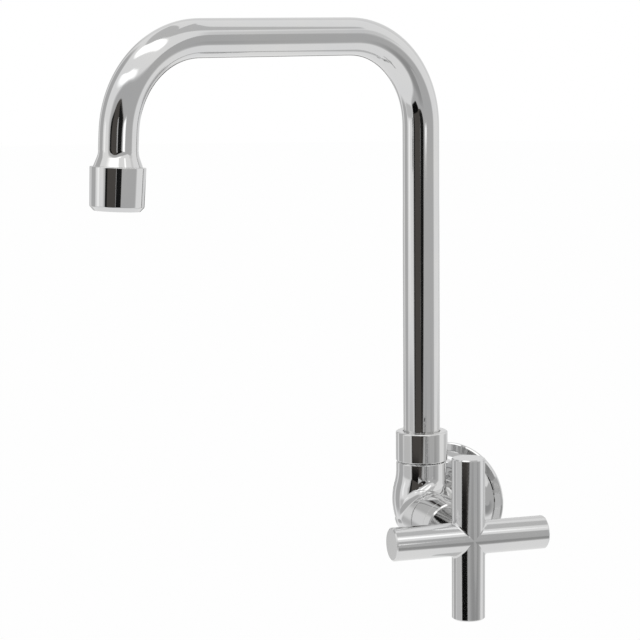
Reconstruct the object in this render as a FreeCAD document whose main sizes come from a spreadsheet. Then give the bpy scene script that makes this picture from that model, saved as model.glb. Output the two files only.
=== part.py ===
import FreeCAD, Part
import math
import os
import re
import Sketcher

# Wall mounted kitchen faucet: single cold inlet, cross handle, square bent swivel spout.
# The frame has its origin where the inlet axis meets the wall. +Z is up, the wall is the
# plane Y = 0 and the faucet stands out from it towards -Y. All sizes are millimetres.

doc = FreeCAD.newDocument("wall_kitchen_faucet")
sheet = doc.addObject("Spreadsheet::Sheet", "Sizes")

# Driving dimensions, one alias each
SIZES = {
    # Placing of the three axes
    "wall_distance": 39.0,
    "valve_angle": 45.0,
    "spout_rest_angle": 26.4,
    # Fits shared by several pieces
    "thread_clearance": 0.1,
    "slide_clearance": 0.06,
    "press_clearance": 0.02,
    "film_gap": 0.03,
    "edge_break": 0.5,
    # Wall flange and gasket
    "flange_radius": 30.8,
    "flange_band": 4.2,
    "flange_rim_height": 2.9,
    "flange_step": 0.7,
    "flange_height": 11.5,
    "flange_crown_radius": 16.0,
    "flange_wall": 1.2,
    "flange_crown_bend": 14.0,
    "flange_edge": 0.6,
    "flange_hole_clearance": 0.4,
    "gasket_thickness": 1.0,
    "gasket_width": 6.0,
    # Cast body
    "neck_radius": 12.8,
    "neck_top": 27.4,
    "neck_foot": 24.8,
    "shoulder_height": 19.5,
    "shoulder_radius": 12.9,
    "shoulder_offset": 0.3,
    "belly_height": 8.0,
    "belly_radius": 13.6,
    "belly_offset": 1.9,
    "hip_height": -4.0,
    "hip_radius": 12.6,
    "hip_offset": 0.8,
    "sole_height": -12.0,
    "sole_radius": 8.6,
    "floor_height": -16.2,
    "floor_radius": 2.0,
    "boss_radius": 14.0,
    "boss_length": 19.6,
    "branch_radius": 12.2,
    "branch_blend": 5.0,
    "shank_radius": 10.4775,
    "shank_length": 16.0,
    "inlet_bore_radius": 5.5,
    "inlet_bore_end": 15.0,
    "passage_radius": 4.2,
    "passage_run_in": 1.0,
    "port_radius": 4.5,
    "port_depth": 3.5,
    "seat_depth": 4.0,
    "chamber_radius": 9.4,
    "chamber_end": 9.0,
    "valve_thread_radius": 10.35,
    "neck_thread_radius": 11.0,
    "neck_thread_top": 38.0,
    "socket_radius": 8.5,
    "socket_floor": 21.5,
    "riser_way_radius": 5.8,
    "riser_way_floor": 7.0,
    # Swivel joint at the foot of the spout
    "nut_radius": 13.5,
    "nut_gap": 0.6,
    "nut_edge": 0.8,
    "nut_lip": 1.44,
    "nut_bore_clearance": 0.3,
    "washer_thickness": 0.8,
    "ring_flange_thickness": 2.5,
    "ring_flange_radius": 10.6,
    "slip_ring_thickness": 0.9,
    "ferrule_bore_radius": 5.6,
    "ferrule_spigot": 10.0,
    "seal_section_radius": 0.75,
    "seal_groove_width": 2.0,
    "lower_seal_height": 25.0,
    "seal_spacing": 6.0,
    # Spout tube
    "tube_radius": 9.5,
    "tube_wall": 1.0,
    "spout_height": 249.7,
    "bend_radius": 45.7,
    "spout_reach": 182.6,
    "tip_lean": 3.4,
    "tip_straight": 8.8,
    # Nozzle brazed to the tip
    "flare_length": 7.5,
    "flare_angle": 21.0,
    "flare_hollow": 9.0,
    "nozzle_spigot": 6.0,
    "nozzle_thread_radius": 11.0,
    "nozzle_thread_length": 7.4,
    "nozzle_bore_radius": 7.2,
    # Aerator
    "shell_length": 20.8,
    "shell_top_radius": 13.35,
    "shell_foot_radius": 12.85,
    "shell_chamfer": 2.0,
    "shell_mouth_radius": 9.8,
    "shell_lip": 1.5,
    "aerator_washer_thickness": 1.5,
    "insert_wall": 1.2,
    "insert_plate": 1.6,
    "insert_hole_radius": 0.9,
    "insert_hole_ring": 5.6,
    "screen_thickness": 0.4,
    "insert_hole_count": 8,
    "outlet_rib_count": 3,
    "outlet_rib": 1.0,
    "outlet_rib_height": 2.0,
    # Ceramic cartridge
    "seat_seal_thickness": 2.2,
    "disc_thickness": 3.0,
    "disc_radius": 7.6,
    "disc_port_inner": 2.0,
    "disc_port_outer": 6.2,
    "disc_port_angle": 70.0,
    "drive_slot_width": 4.0,
    "drive_slot_depth": 1.2,
    "housing_wall": 0.9,
    "housing_window_width": 8.0,
    "cartridge_seal_thickness": 0.8,
    "housing_flange_radius": 11.3,
    "housing_flange": 1.6,
    "housing_hex_across": 20.0,
    "housing_hex_length": 6.0,
    "housing_neck_radius": 8.8,
    "housing_neck_end": 34.0,
    "spindle_foot": 2.4,
    "spindle_bearing_radius": 5.6,
    "spindle_bearing_end": 21.0,
    "spindle_radius": 4.0,
    "spindle_end": 50.0,
    "spindle_seal_section": 0.7,
    "spindle_seal_height": 10.0,
    "spindle_seal_spacing": 5.0,
    "spline_start": 38.5,
    "spline_depth": 0.4,
    "spline_count": 20,
    "slip_washer_thickness": 0.6,
    "clip_thickness": 0.8,
    "clip_radius": 5.6,
    "clip_depth": 0.6,
    "clip_opening": 5.0,
    # Sleeve over the bonnet
    "sleeve_radius": 13.2,
    "sleeve_wall": 1.3,
    "sleeve_end": 36.6,
    "sleeve_lip": 2.0,
    "sleeve_hole_radius": 6.4,
    "sleeve_gap": 0.1,
    "sleeve_edge": 0.5,
    # Cross handle
    "handle_distance": 65.4,
    "bar_radius": 8.37,
    "bar_length": 81.9,
    "bar_edge": 0.6,
    "crossing_blend": 1.2,
    "stem_radius": 8.5,
    "stem_start": 38.2,
    "stem_bore_radius": 6.2,
    "adapter_end": 45.4,
    "skirt_radius": 13.5,
    "skirt_gap": 0.6,
    "skirt_front": 44.2,
    "skirt_wall": 1.4,
    "skirt_plate": 2.2,
    "skirt_edge": 0.7,
    "screw_radius": 2.0,
    "screw_length": 3.6,
    "screw_place": 47.6,
    "screw_socket_across": 2.0,
    "screw_socket_depth": 1.6,
}

for row, (alias, size) in enumerate(SIZES.items(), start=1):
    sheet.set("A%d" % row, alias)
    sheet.set("B%d" % row, str(size))
    sheet.setAlias("B%d" % row, alias)
doc.recompute()

WORD = re.compile(r"\b(%s)\b" % "|".join(sorted(SIZES, key=len, reverse=True)))

# Lengths that several pieces share, written once from the sizes above
LEVEL = {
    "nut_foot": "(neck_top + nut_gap)",
    "ring_flange_foot": "(neck_thread_top + washer_thickness)",
    "tube_foot": "(neck_thread_top + washer_thickness + ring_flange_thickness)",
    "slip_ring_foot": "(neck_thread_top + washer_thickness + ring_flange_thickness + film_gap)",
    "slip_ring_top": "(neck_thread_top + washer_thickness + ring_flange_thickness"
                     " + slip_ring_thickness + film_gap)",
    "nut_ceiling": "(neck_thread_top + washer_thickness + ring_flange_thickness"
                   " + slip_ring_thickness + 2 * film_gap)",
    "nut_crest": "(neck_thread_top + washer_thickness + ring_flange_thickness"
                 " + slip_ring_thickness + 2 * film_gap + nut_lip)",
    "plug_radius": "(socket_radius - slide_clearance)",
    "plug_foot": "(socket_floor + edge_break)",
    "tube_bore": "(tube_radius - tube_wall)",
    "seal_ring_radius": "(socket_radius - slide_clearance - seal_section_radius)",
    "seal_groove_radius": "(socket_radius - 2 * slide_clearance - 2 * seal_section_radius)",
    "fixed_disc_foot": "(seat_seal_thickness - seat_depth)",
    "moving_disc_foot": "(seat_seal_thickness - seat_depth + disc_thickness + film_gap)",
    "moving_disc_top": "(seat_seal_thickness - seat_depth + 2 * disc_thickness + film_gap)",
    "bearing_foot": "(seat_seal_thickness - seat_depth + 2 * disc_thickness + film_gap"
                    " + spindle_foot)",
    "cage_foot": "(seat_seal_thickness - seat_depth + film_gap)",
    "cage_bore": "(disc_radius + slide_clearance)",
    "cage_radius": "(disc_radius + slide_clearance + housing_wall)",
    "housing_thread": "(valve_thread_radius - thread_clearance)",
    "collar_foot": "(boss_length + cartridge_seal_thickness)",
    "hex_foot": "(boss_length + cartridge_seal_thickness + housing_flange)",
    "hex_top": "(boss_length + cartridge_seal_thickness + housing_flange + housing_hex_length)",
    "bearing_bore": "(spindle_bearing_radius + slide_clearance)",
    "bearing_seal_radius": "(spindle_bearing_radius - spindle_seal_section)",
    "bearing_groove_radius": "(spindle_bearing_radius - slide_clearance - 2 * spindle_seal_section)",
    "shoulder_top": "(spindle_bearing_end + slip_washer_thickness)",
    "spindle_hole": "(spindle_radius + slide_clearance)",
    "clip_foot": "(housing_neck_end + film_gap)",
    "clip_top": "(housing_neck_end + film_gap + clip_thickness)",
    "skirt_start": "(sleeve_end + skirt_gap)",
    "skirt_hole": "(stem_radius + press_clearance)",
    "sleeve_bore": "(sleeve_radius - sleeve_wall)",
    "branch_end": "(wall_distance - gasket_thickness)",
    "shank_end": "(wall_distance + shank_length)",
    "flare_foot": "(tip_straight + flare_length)",
    "flare_radius": "(tube_radius + flare_hollow * (1 - cos(flare_angle))"
                    " + (flare_length - flare_hollow * sin(flare_angle)) * tan(flare_angle))",
    "shell_start": "(tip_straight + flare_length + film_gap)",
    "shell_end": "(tip_straight + flare_length + film_gap + shell_length)",
    "shell_bore": "(nozzle_thread_radius + thread_clearance)",
    "nozzle_end": "(tip_straight + flare_length + nozzle_thread_length)",
    "insert_start": "(tip_straight + flare_length + nozzle_thread_length"
                    " + aerator_washer_thickness)",
    "insert_end": "(tip_straight + flare_length + film_gap + shell_length - shell_lip)",
    "insert_radius": "(nozzle_thread_radius + thread_clearance - slide_clearance)",
    "screen_radius": "(nozzle_thread_radius + thread_clearance - 2 * slide_clearance - insert_wall)",
    "plate_foot": "(tip_straight + flare_length + nozzle_thread_length"
                  " + aerator_washer_thickness + insert_plate)",
    "rib_crest": "(tip_straight + flare_length + film_gap + shell_length - shell_lip"
                 " - outlet_rib_height)",
}
LEVEL_WORD = re.compile(r"\b(%s)\b" % "|".join(sorted(LEVEL, key=len, reverse=True)))


def bound(text):
    """Expression text in which each word stands for its cell or its shared length."""
    full = LEVEL_WORD.sub(lambda found: LEVEL[found.group(1)], str(text))
    return WORD.sub(r"Sizes.\1", full)


def value(text):
    return float(sheet.evalExpression(bound(text)))


def new_body(label):
    body = doc.addObject("PartDesign::Body", label)
    body.Label = label
    return body


def origin_feature(body, role):
    for feature in body.Origin.OriginFeatures:
        if feature.Role == role:
            return feature


def new_sketch(body, name, role, lift="0", turn="0", shift="0"):
    """Sketch on one origin plane: raised along its normal, shifted along its X and turned."""
    sketch = body.newObject("Sketcher::SketchObject", name)
    sketch.AttachmentSupport = [(origin_feature(body, role), "")]
    sketch.MapMode = "FlatFace"
    sketch.setExpression("AttachmentOffset.Base.x", bound(shift))
    sketch.setExpression("AttachmentOffset.Base.z", bound(lift))
    if turn != "0":
        sketch.AttachmentOffset.Rotation = FreeCAD.Rotation(FreeCAD.Vector(0, 0, 1), value(turn))
        sketch.setExpression("AttachmentOffset.Rotation.Angle", bound(turn))
    return sketch


def arc_between(start, end, radius):
    """Minor arc from start to end: a positive radius turns left, a negative one turns right."""
    chord = end - start
    half = chord.Length / 2
    side = FreeCAD.Vector(-chord.y, chord.x, 0).normalize()
    if radius < 0:
        side = -side
    reach = math.sqrt(max(radius * radius - half * half, 0.0))
    centre = (start + end) * 0.5 + side * reach
    first, last = (start, end) if radius > 0 else (end, start)
    first_angle = math.atan2(first.y - centre.y, first.x - centre.x)
    last_angle = math.atan2(last.y - centre.y, last.x - centre.x)
    circle = Part.Circle(centre, FreeCAD.Vector(0, 0, 1), abs(radius))
    return Part.ArcOfCircle(circle, first_angle, last_angle)


def place_point(sketch, geometry, end, x, y):
    for kind, text in (("DistanceX", x), ("DistanceY", y)):
        number = sketch.addConstraint(Sketcher.Constraint(kind, -1, 1, geometry, end, value(text)))
        sketch.setExpression("Constraints[%d]" % number, bound(text))


def draw(sketch, outline, closed=True):
    """Chain of lines and arcs. A corner is (x, y), or (x, y, radius) where an arc ends."""
    points = [FreeCAD.Vector(value(corner[0]), value(corner[1]), 0) for corner in outline]
    total = len(outline)
    ends = []
    for k in range(total if closed else total - 1):
        start = points[k]
        end = points[(k + 1) % total]
        corner = outline[(k + 1) % total]
        if len(corner) == 3:
            radius = value(corner[2])
            geometry = sketch.addGeometry(arc_between(start, end, radius))
            number = sketch.addConstraint(Sketcher.Constraint("Radius", geometry, abs(radius)))
            sketch.setExpression("Constraints[%d]" % number, "abs(%s)" % bound(corner[2]))
            ends.append((geometry, 1, 2) if radius > 0 else (geometry, 2, 1))
        else:
            geometry = sketch.addGeometry(Part.LineSegment(start, end))
            ends.append((geometry, 1, 2))
    for k, (geometry, first, last) in enumerate(ends):
        place_point(sketch, geometry, first, outline[k][0], outline[k][1])
        if closed or k + 1 < len(ends):
            following = ends[(k + 1) % len(ends)]
            pair = Sketcher.Constraint("Coincident", geometry, last, following[0], following[1])
            sketch.addConstraint(pair)
        else:
            place_point(sketch, geometry, last, outline[k + 1][0], outline[k + 1][1])
    return sketch


def draw_circle(sketch, x, y, radius):
    centre = FreeCAD.Vector(value(x), value(y), 0)
    circle = Part.Circle(centre, FreeCAD.Vector(0, 0, 1), value(radius))
    geometry = sketch.addGeometry(circle)
    place_point(sketch, geometry, 3, x, y)
    number = sketch.addConstraint(Sketcher.Constraint("Radius", geometry, value(radius)))
    sketch.setExpression("Constraints[%d]" % number, bound(radius))
    return sketch


def changed_volume(body, before, name, cut):
    doc.recompute()
    after = body.Shape.Volume
    if cut == (after >= before - 1e-6):
        raise RuntimeError("%s of %s changed nothing" % (name, body.Label))


def body_volume(body):
    doc.recompute()
    return 0.0 if body.Tip is None else body.Shape.Volume


def revolve(body, name, outline, role="XZ_Plane", axis="V_Axis", cut=False, turn="0", shift="0"):
    """Turned feature about a sketch axis: added, or cut away as a bore."""
    before = body_volume(body)
    sketch = draw(new_sketch(body, name + "_profile", role, turn=turn, shift=shift), outline)
    kind = "PartDesign::Groove" if cut else "PartDesign::Revolution"
    feature = body.newObject(kind, name)
    feature.Profile = sketch
    feature.ReferenceAxis = (sketch, [axis])
    feature.Angle = 360
    changed_volume(body, before, name, cut)
    return feature


def pad(body, name, sketch, length, midplane=False, cut=False, reverse=False):
    before = body_volume(body)
    feature = body.newObject("PartDesign::Pocket" if cut else "PartDesign::Pad", name)
    feature.Profile = sketch
    feature.Length = value(length)
    feature.setExpression("Length", bound(length))
    feature.Midplane = midplane
    feature.Reversed = reverse
    changed_volume(body, before, name, cut)
    return feature


def repeat_round(body, name, feature, count, angle="360"):
    pattern = body.newObject("PartDesign::PolarPattern", name)
    pattern.Originals = [feature]
    pattern.Axis = (origin_feature(body, "Z_Axis"), [""])
    pattern.Angle = value(angle)
    pattern.setExpression("Occurrences", bound(count))
    body.Tip = pattern
    doc.recompute()
    return pattern


def ring_edges(body, radius, height, axis=FreeCAD.Vector(0, 0, 1)):
    """Names of the circular edges with this radius at this height along an axis."""
    names = []
    for k, edge in enumerate(body.Shape.Edges, start=1):
        if edge.Degenerated or not isinstance(edge.Curve, Part.Circle):
            continue
        same_radius = abs(edge.Curve.Radius - value(radius)) < 1e-3
        if same_radius and abs(edge.Curve.Center.dot(axis) - value(height)) < 1e-3:
            names.append("Edge%d" % k)
    return names


def meeting_edges(body):
    """Names of the curved edges where two rounded surfaces run into each other."""
    names = []
    for k, edge in enumerate(body.Shape.Edges, start=1):
        if edge.Degenerated or isinstance(edge.Curve, (Part.Line, Part.Circle)):
            continue
        box = edge.BoundBox
        level = min(box.XLength, box.YLength, box.ZLength) < 1e-3
        if not level and len(body.Shape.ancestorsOfType(edge, Part.Face)) == 2:
            names.append("Edge%d" % k)
    return names


def soften(body, name, edges, size, kind="Chamfer"):
    """Chamfer or fillet on named edges, with its size bound to the sheet."""
    base = body.Tip
    feature = body.newObject("PartDesign::" + kind, name)
    feature.Base = (base, edges)
    slot = "Size" if kind == "Chamfer" else "Radius"
    setattr(feature, slot, value(size))
    feature.setExpression(slot, bound(size))
    body.Tip = feature
    doc.recompute()
    return feature


def place(body, x="0", y="0", z="0", yaw="0", pitch="0"):
    text = "create(<<placement>>; create(<<vector>>; %s; %s; %s); create(<<rotation>>; %s; %s; 0))"
    body.setExpression("Placement", text % tuple(bound(part) for part in (x, y, z, yaw, pitch)))


def on_riser(body):
    place(body, y="-wall_distance", yaw="-90 - spout_rest_angle")


def on_valve(body):
    place(body, y="-wall_distance", yaw="valve_angle - 90", pitch="90")


def on_wall(body):
    place(body, yaw="-90", pitch="90")


def on_tip(body):
    """Local Z runs down the drop of the spout, from the end of its second bend."""
    out = "(spout_reach - bend_radius + bend_radius * cos(tip_lean))"
    height = "(spout_height - bend_radius + bend_radius * sin(tip_lean))"
    place(body, x="-sin(spout_rest_angle) * " + out,
          y="-wall_distance - cos(spout_rest_angle) * " + out, z=height,
          yaw="-90 - spout_rest_angle", pitch="180 - tip_lean")


def turned(label, outline, seat):
    body = new_body(label)
    revolve(body, label + "_turn", outline)
    seat(body)
    return body


def washer(label, inner, outer, foot, top, seat):
    return turned(label, [(inner, foot), (outer, foot), (outer, top), (inner, top)], seat)


def seal_ring(label, radius, height, section, seat):
    """Rubber ring of round section."""
    body = new_body(label)
    sketch = draw_circle(new_sketch(body, label + "_section", "XZ_Plane"), radius, height, section)
    feature = body.newObject("PartDesign::Revolution", label + "_turn")
    feature.Profile = sketch
    feature.ReferenceAxis = (sketch, ["V_Axis"])
    feature.Angle = 360
    seat(body)
    return body


# Wall flange: flat rim band, small step, then a crowned dome with a hole for the inlet branch
def make_wall_escutcheon():
    dome_foot = "(flange_radius - flange_band)"
    hole = "(branch_radius + flange_hole_clearance)"
    outline = [
        (hole, "flange_height - flange_wall"),
        ("flange_crown_radius", "flange_height - flange_wall"),
        (dome_foot + " - flange_wall", "flange_rim_height", "-flange_crown_bend"),
        (dome_foot + " - flange_wall", "gasket_thickness"),
        ("flange_radius", "gasket_thickness"),
        ("flange_radius", "flange_rim_height - flange_edge"),
        ("flange_radius - flange_edge", "flange_rim_height"),
        (dome_foot, "flange_rim_height"),
        (dome_foot, "flange_rim_height + flange_step"),
        ("flange_crown_radius", "flange_height", "flange_crown_bend"),
        (hole, "flange_height"),
    ]
    return turned("wall_escutcheon", outline, on_wall)


# Cast body: neck above a belly that swells on the outer side of the bend, boss and branch
def make_valve_body():
    body = new_body("valve_body")
    sections = []
    for name in ("neck", "shoulder", "belly", "hip", "sole", "floor"):
        height = "neck_foot" if name == "neck" else name + "_height"
        shift = name + "_offset" if name in ("shoulder", "belly", "hip") else "0"
        section = new_sketch(body, name + "_section", "XY_Plane", lift=height,
                             turn="270 - valve_angle / 2")
        sections.append(draw_circle(section, shift, "0", name + "_radius"))
    doc.recompute()
    loft = body.newObject("PartDesign::AdditiveLoft", "belly_loft")
    loft.Profile = sections[0]
    loft.Sections = sections[1:]
    doc.recompute()
    neck = [
        ("0", "belly_height"),
        ("neck_radius", "neck_foot"),
        ("neck_radius", "neck_top - edge_break"),
        ("neck_radius - edge_break", "neck_top"),
        ("neck_thread_radius", "neck_top"),
        ("neck_thread_radius", "neck_thread_top"),
        ("0", "neck_thread_top"),
    ]
    revolve(body, "neck", neck)
    boss = [
        ("0", "0"),
        ("0", "boss_radius"),
        ("boss_length - edge_break", "boss_radius"),
        ("boss_length", "boss_radius - edge_break"),
        ("boss_length", "0"),
    ]
    revolve(body, "valve_boss", boss, axis="H_Axis")
    branch = [
        ("0", "0"),
        ("0", "branch_radius"),
        ("branch_end", "branch_radius"),
        ("branch_end", "shank_radius"),
        ("shank_end - edge_break", "shank_radius"),
        ("shank_end", "shank_radius - edge_break"),
        ("shank_end", "0"),
    ]
    to_wall = "180 - valve_angle"
    revolve(body, "inlet_branch", branch, role="XY_Plane", axis="H_Axis", turn=to_wall)
    soften(body, "casting_round", meeting_edges(body), "branch_blend", "Fillet")
    make_water_way(body, to_wall)
    place(body, y="-wall_distance", yaw="valve_angle - 90")
    return body


# Cored way for the water: wall, inlet bore, passage, port, valve chamber, neck
def make_water_way(body, to_wall):
    socket = [
        ("0", "riser_way_floor"),
        ("riser_way_radius", "riser_way_floor"),
        ("riser_way_radius", "socket_floor"),
        ("socket_radius", "socket_floor"),
        ("socket_radius", "neck_thread_top"),
        ("0", "neck_thread_top"),
    ]
    revolve(body, "neck_socket", socket, cut=True)
    port_end = "(seat_depth + port_depth)"
    chamber = [
        ("-" + port_end, "0"),
        ("-" + port_end, "port_radius"),
        ("-seat_depth", "port_radius"),
        ("-seat_depth", "chamber_radius"),
        ("chamber_end", "chamber_radius"),
        ("chamber_end", "valve_thread_radius"),
        ("boss_length", "valve_thread_radius"),
        ("boss_length", "0"),
    ]
    revolve(body, "valve_chamber", chamber, axis="H_Axis", cut=True)
    inlet = [
        ("inlet_bore_end", "0"),
        ("inlet_bore_end", "inlet_bore_radius"),
        ("shank_end", "inlet_bore_radius"),
        ("shank_end", "0"),
    ]
    revolve(body, "inlet_bore", inlet, role="XY_Plane", axis="H_Axis", cut=True, turn=to_wall)
    start = "(seat_depth + port_depth - passage_run_in)"
    reach = "(inlet_bore_end + passage_run_in)"
    along = "(%s - %s * cos(valve_angle))" % (start, reach)
    across = "(%s * sin(valve_angle))" % reach
    run = "sqrt(%s^2 + %s^2)" % (along, across)
    passage = [
        ("-passage_radius", "0"),
        ("0", "passage_radius", "-passage_radius"),
        (run, "passage_radius"),
        (run + " + passage_radius", "0", "-passage_radius"),
    ]
    revolve(body, "cored_passage", passage, role="XY_Plane", axis="H_Axis", cut=True,
            turn="atan2(%s; %s)" % (across, along), shift="-" + start)


# Collar nut that holds the spout down on the neck
def make_spout_nut():
    outline = [
        ("neck_thread_radius + thread_clearance", "nut_foot"),
        ("nut_radius - nut_edge", "nut_foot"),
        ("nut_radius", "nut_foot + nut_edge"),
        ("nut_radius", "nut_crest - nut_edge"),
        ("nut_radius - nut_edge", "nut_crest"),
        ("tube_radius + nut_bore_clearance", "nut_crest"),
        ("tube_radius + nut_bore_clearance", "nut_ceiling"),
        ("neck_thread_radius + thread_clearance", "nut_ceiling"),
    ]
    return turned("spout_nut", outline, on_riser)


# Brass ferrule brazed into the foot of the tube: spigot, thrust flange and sealed plug
def make_spout_ferrule():
    outline = [
        ("ferrule_bore_radius", "plug_foot"),
        ("plug_radius - edge_break", "plug_foot"),
        ("plug_radius", "plug_foot + edge_break"),
    ]
    for height in ("lower_seal_height", "(lower_seal_height + seal_spacing)"):
        outline += [
            ("plug_radius", height + " - seal_groove_width / 2"),
            ("seal_groove_radius", height + " - seal_groove_width / 2"),
            ("seal_groove_radius", height + " + seal_groove_width / 2"),
            ("plug_radius", height + " + seal_groove_width / 2"),
        ]
    outline += [
        ("plug_radius", "ring_flange_foot"),
        ("ring_flange_radius", "ring_flange_foot"),
        ("ring_flange_radius", "tube_foot"),
        ("tube_bore - press_clearance", "tube_foot"),
        ("tube_bore - press_clearance", "tube_foot + ferrule_spigot"),
        ("ferrule_bore_radius", "tube_foot + ferrule_spigot"),
    ]
    return turned("spout_ferrule", outline, on_riser)


# Spout tube: riser, first bend, level run, second bend and a short drop that leans outwards
def make_spout_tube():
    body = new_body("spout_tube")
    centre_height = "(spout_height - bend_radius)"
    second = "(spout_reach - bend_radius)"
    end_x = "(%s + bend_radius * cos(tip_lean))" % second
    end_z = "(%s + bend_radius * sin(tip_lean))" % centre_height
    route = [
        ("0", "tube_foot"),
        ("0", centre_height),
        ("bend_radius", "spout_height", "-bend_radius"),
        (second, "spout_height"),
        (end_x, end_z, "-bend_radius"),
        (end_x + " + tip_straight * sin(tip_lean)", end_z + " - tip_straight * cos(tip_lean)"),
    ]
    spine = draw(new_sketch(body, "tube_route", "XZ_Plane"), route, closed=False)
    section = new_sketch(body, "tube_section", "XY_Plane", lift="tube_foot")
    draw_circle(section, "0", "0", "tube_radius")
    draw_circle(section, "0", "0", "tube_bore")
    doc.recompute()
    pipe = body.newObject("PartDesign::AdditivePipe", "bent_tube")
    pipe.Profile = section
    pipe.Spine = (spine, ["Edge%d" % k for k in range(1, len(route))])
    doc.recompute()
    on_riser(body)
    return body


# Nozzle brazed to the tip of the tube: spigot, flare and the thread for the aerator
def make_spout_nozzle():
    hollow_x = "tube_radius + flare_hollow * (1 - cos(flare_angle))"
    hollow_z = "tip_straight + flare_hollow * sin(flare_angle)"
    outline = [
        ("nozzle_bore_radius", "tip_straight - nozzle_spigot"),
        ("tube_bore - press_clearance", "tip_straight - nozzle_spigot"),
        ("tube_bore - press_clearance", "tip_straight"),
        ("tube_radius", "tip_straight"),
        (hollow_x, hollow_z, "-flare_hollow"),
        ("flare_radius", "flare_foot"),
        ("nozzle_thread_radius", "flare_foot"),
        ("nozzle_thread_radius", "nozzle_end"),
        ("nozzle_bore_radius", "nozzle_end"),
    ]
    return turned("spout_nozzle", outline, on_tip)


# Aerator shell: tapers a little to its foot, with an inward lip that holds the insert
def make_aerator_shell():
    outline = [
        ("shell_bore", "shell_start"),
        ("shell_top_radius - edge_break", "shell_start"),
        ("shell_top_radius", "shell_start + edge_break"),
        ("shell_foot_radius", "shell_end - shell_chamfer"),
        ("shell_foot_radius - shell_chamfer", "shell_end"),
        ("shell_mouth_radius", "shell_end"),
        ("shell_mouth_radius", "insert_end"),
        ("shell_bore", "insert_end"),
    ]
    return turned("aerator_shell", outline, on_tip)


# Plastic aerator insert: drilled plate at the top, open cup, three crossed ribs at the outlet
def make_aerator_insert():
    bore = "(insert_radius - insert_wall)"
    outline = [
        ("0", "insert_start"),
        ("insert_radius", "insert_start"),
        ("insert_radius", "insert_end"),
        (bore, "insert_end"),
        (bore, "plate_foot"),
        ("0", "plate_foot"),
    ]
    body = new_body("aerator_insert")
    revolve(body, "insert_cup", outline)
    hole = new_sketch(body, "insert_hole", "XY_Plane", lift="insert_start")
    draw_circle(hole, "insert_hole_ring", "0", "insert_hole_radius")
    drilled = pad(body, "insert_drilling", hole, "insert_plate", cut=True, reverse=True)
    repeat_round(body, "insert_holes", drilled, "insert_hole_count")
    half = "outlet_rib / 2"
    reach = "(%s + insert_wall / 2)" % bore
    side = new_sketch(body, "outlet_rib_outline", "XY_Plane", lift="rib_crest")
    draw(side, [("-" + reach, "-" + half), (reach, "-" + half), (reach, half), ("-" + reach, half)])
    rib = pad(body, "outlet_rib_pad", side, "outlet_rib_height")
    repeat_round(body, "outlet_ribs", rib, "2 * outlet_rib_count")
    on_tip(body)
    return body


def sector(sketch, inner, outer, angle):
    """Ring sector centred on the sketch's X axis."""
    corners = []
    for radius, sign in ((inner, "-"), (outer, "-"), (outer, ""), (inner, "")):
        corners.append((radius + " * cos(" + angle + " / 2)",
                        sign + radius + " * sin(" + angle + " / 2)"))
    corners[2] += (outer,)
    corners[0] += ("-" + inner,)
    return draw(sketch, corners)


# Ceramic disc with two opposite sector ports
def make_disc(label, foot, slotted):
    body = new_body(label)
    blank = draw_circle(new_sketch(body, label + "_blank", "XY_Plane", lift=foot),
                        "0", "0", "disc_radius")
    pad(body, label + "_pad", blank, "disc_thickness")
    turn = "90" if slotted else "0"
    port = new_sketch(body, label + "_port", "XY_Plane", lift=foot, turn=turn)
    sector(port, "disc_port_inner", "disc_port_outer", "disc_port_angle")
    cut = pad(body, label + "_port_cut", port, "disc_thickness", cut=True, reverse=True)
    repeat_round(body, label + "_ports", cut, "2")
    if slotted:
        slot = new_sketch(body, label + "_slot", "XY_Plane", lift="moving_disc_top", turn=turn)
        half = "drive_slot_width / 2"
        reach = "(disc_radius + slide_clearance)"
        draw(slot, [("-" + half, "-" + reach), (half, "-" + reach), (half, reach),
                    ("-" + half, reach)])
        pad(body, label + "_slot_cut", slot, "drive_slot_depth", cut=True)
    on_valve(body)
    return body


# Brass cartridge housing: cage for the discs with side windows, thread, flange, hexagon, neck
def make_cartridge_housing():
    body = new_body("cartridge_housing")
    outline = [
        ("cage_bore", "cage_foot"),
        ("cage_radius", "cage_foot"),
        ("cage_radius", "chamber_end + edge_break"),
        ("housing_thread", "chamber_end + edge_break"),
        ("housing_thread", "collar_foot"),
        ("housing_flange_radius", "collar_foot"),
        ("housing_flange_radius", "hex_foot"),
        ("housing_neck_radius", "hex_foot"),
        ("housing_neck_radius", "housing_neck_end"),
        ("spindle_hole", "housing_neck_end"),
        ("spindle_hole", "shoulder_top"),
        ("bearing_bore", "shoulder_top"),
        ("bearing_bore", "bearing_foot"),
        ("cage_bore", "bearing_foot"),
    ]
    revolve(body, "housing_turn", outline)
    hexagon = new_sketch(body, "hexagon", "XY_Plane", lift="hex_foot")
    corner = "(housing_hex_across / 2 / cos(30))"
    draw(hexagon, [("%s * cos(%d)" % (corner, 60 * k), "%s * sin(%d)" % (corner, 60 * k))
                   for k in range(6)])
    draw_circle(hexagon, "0", "0", "housing_neck_radius - edge_break")
    pad(body, "hexagon_pad", hexagon, "housing_hex_length")
    window = new_sketch(body, "window", "YZ_Plane")
    half = "housing_window_width / 2"
    draw(window, [("-" + half, "moving_disc_top"), (half, "moving_disc_top"),
                  (half, "bearing_foot"), ("-" + half, "bearing_foot")])
    pad(body, "window_cut", window, "2 * chamber_radius", midplane=True, cut=True)
    on_valve(body)
    return body


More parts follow.
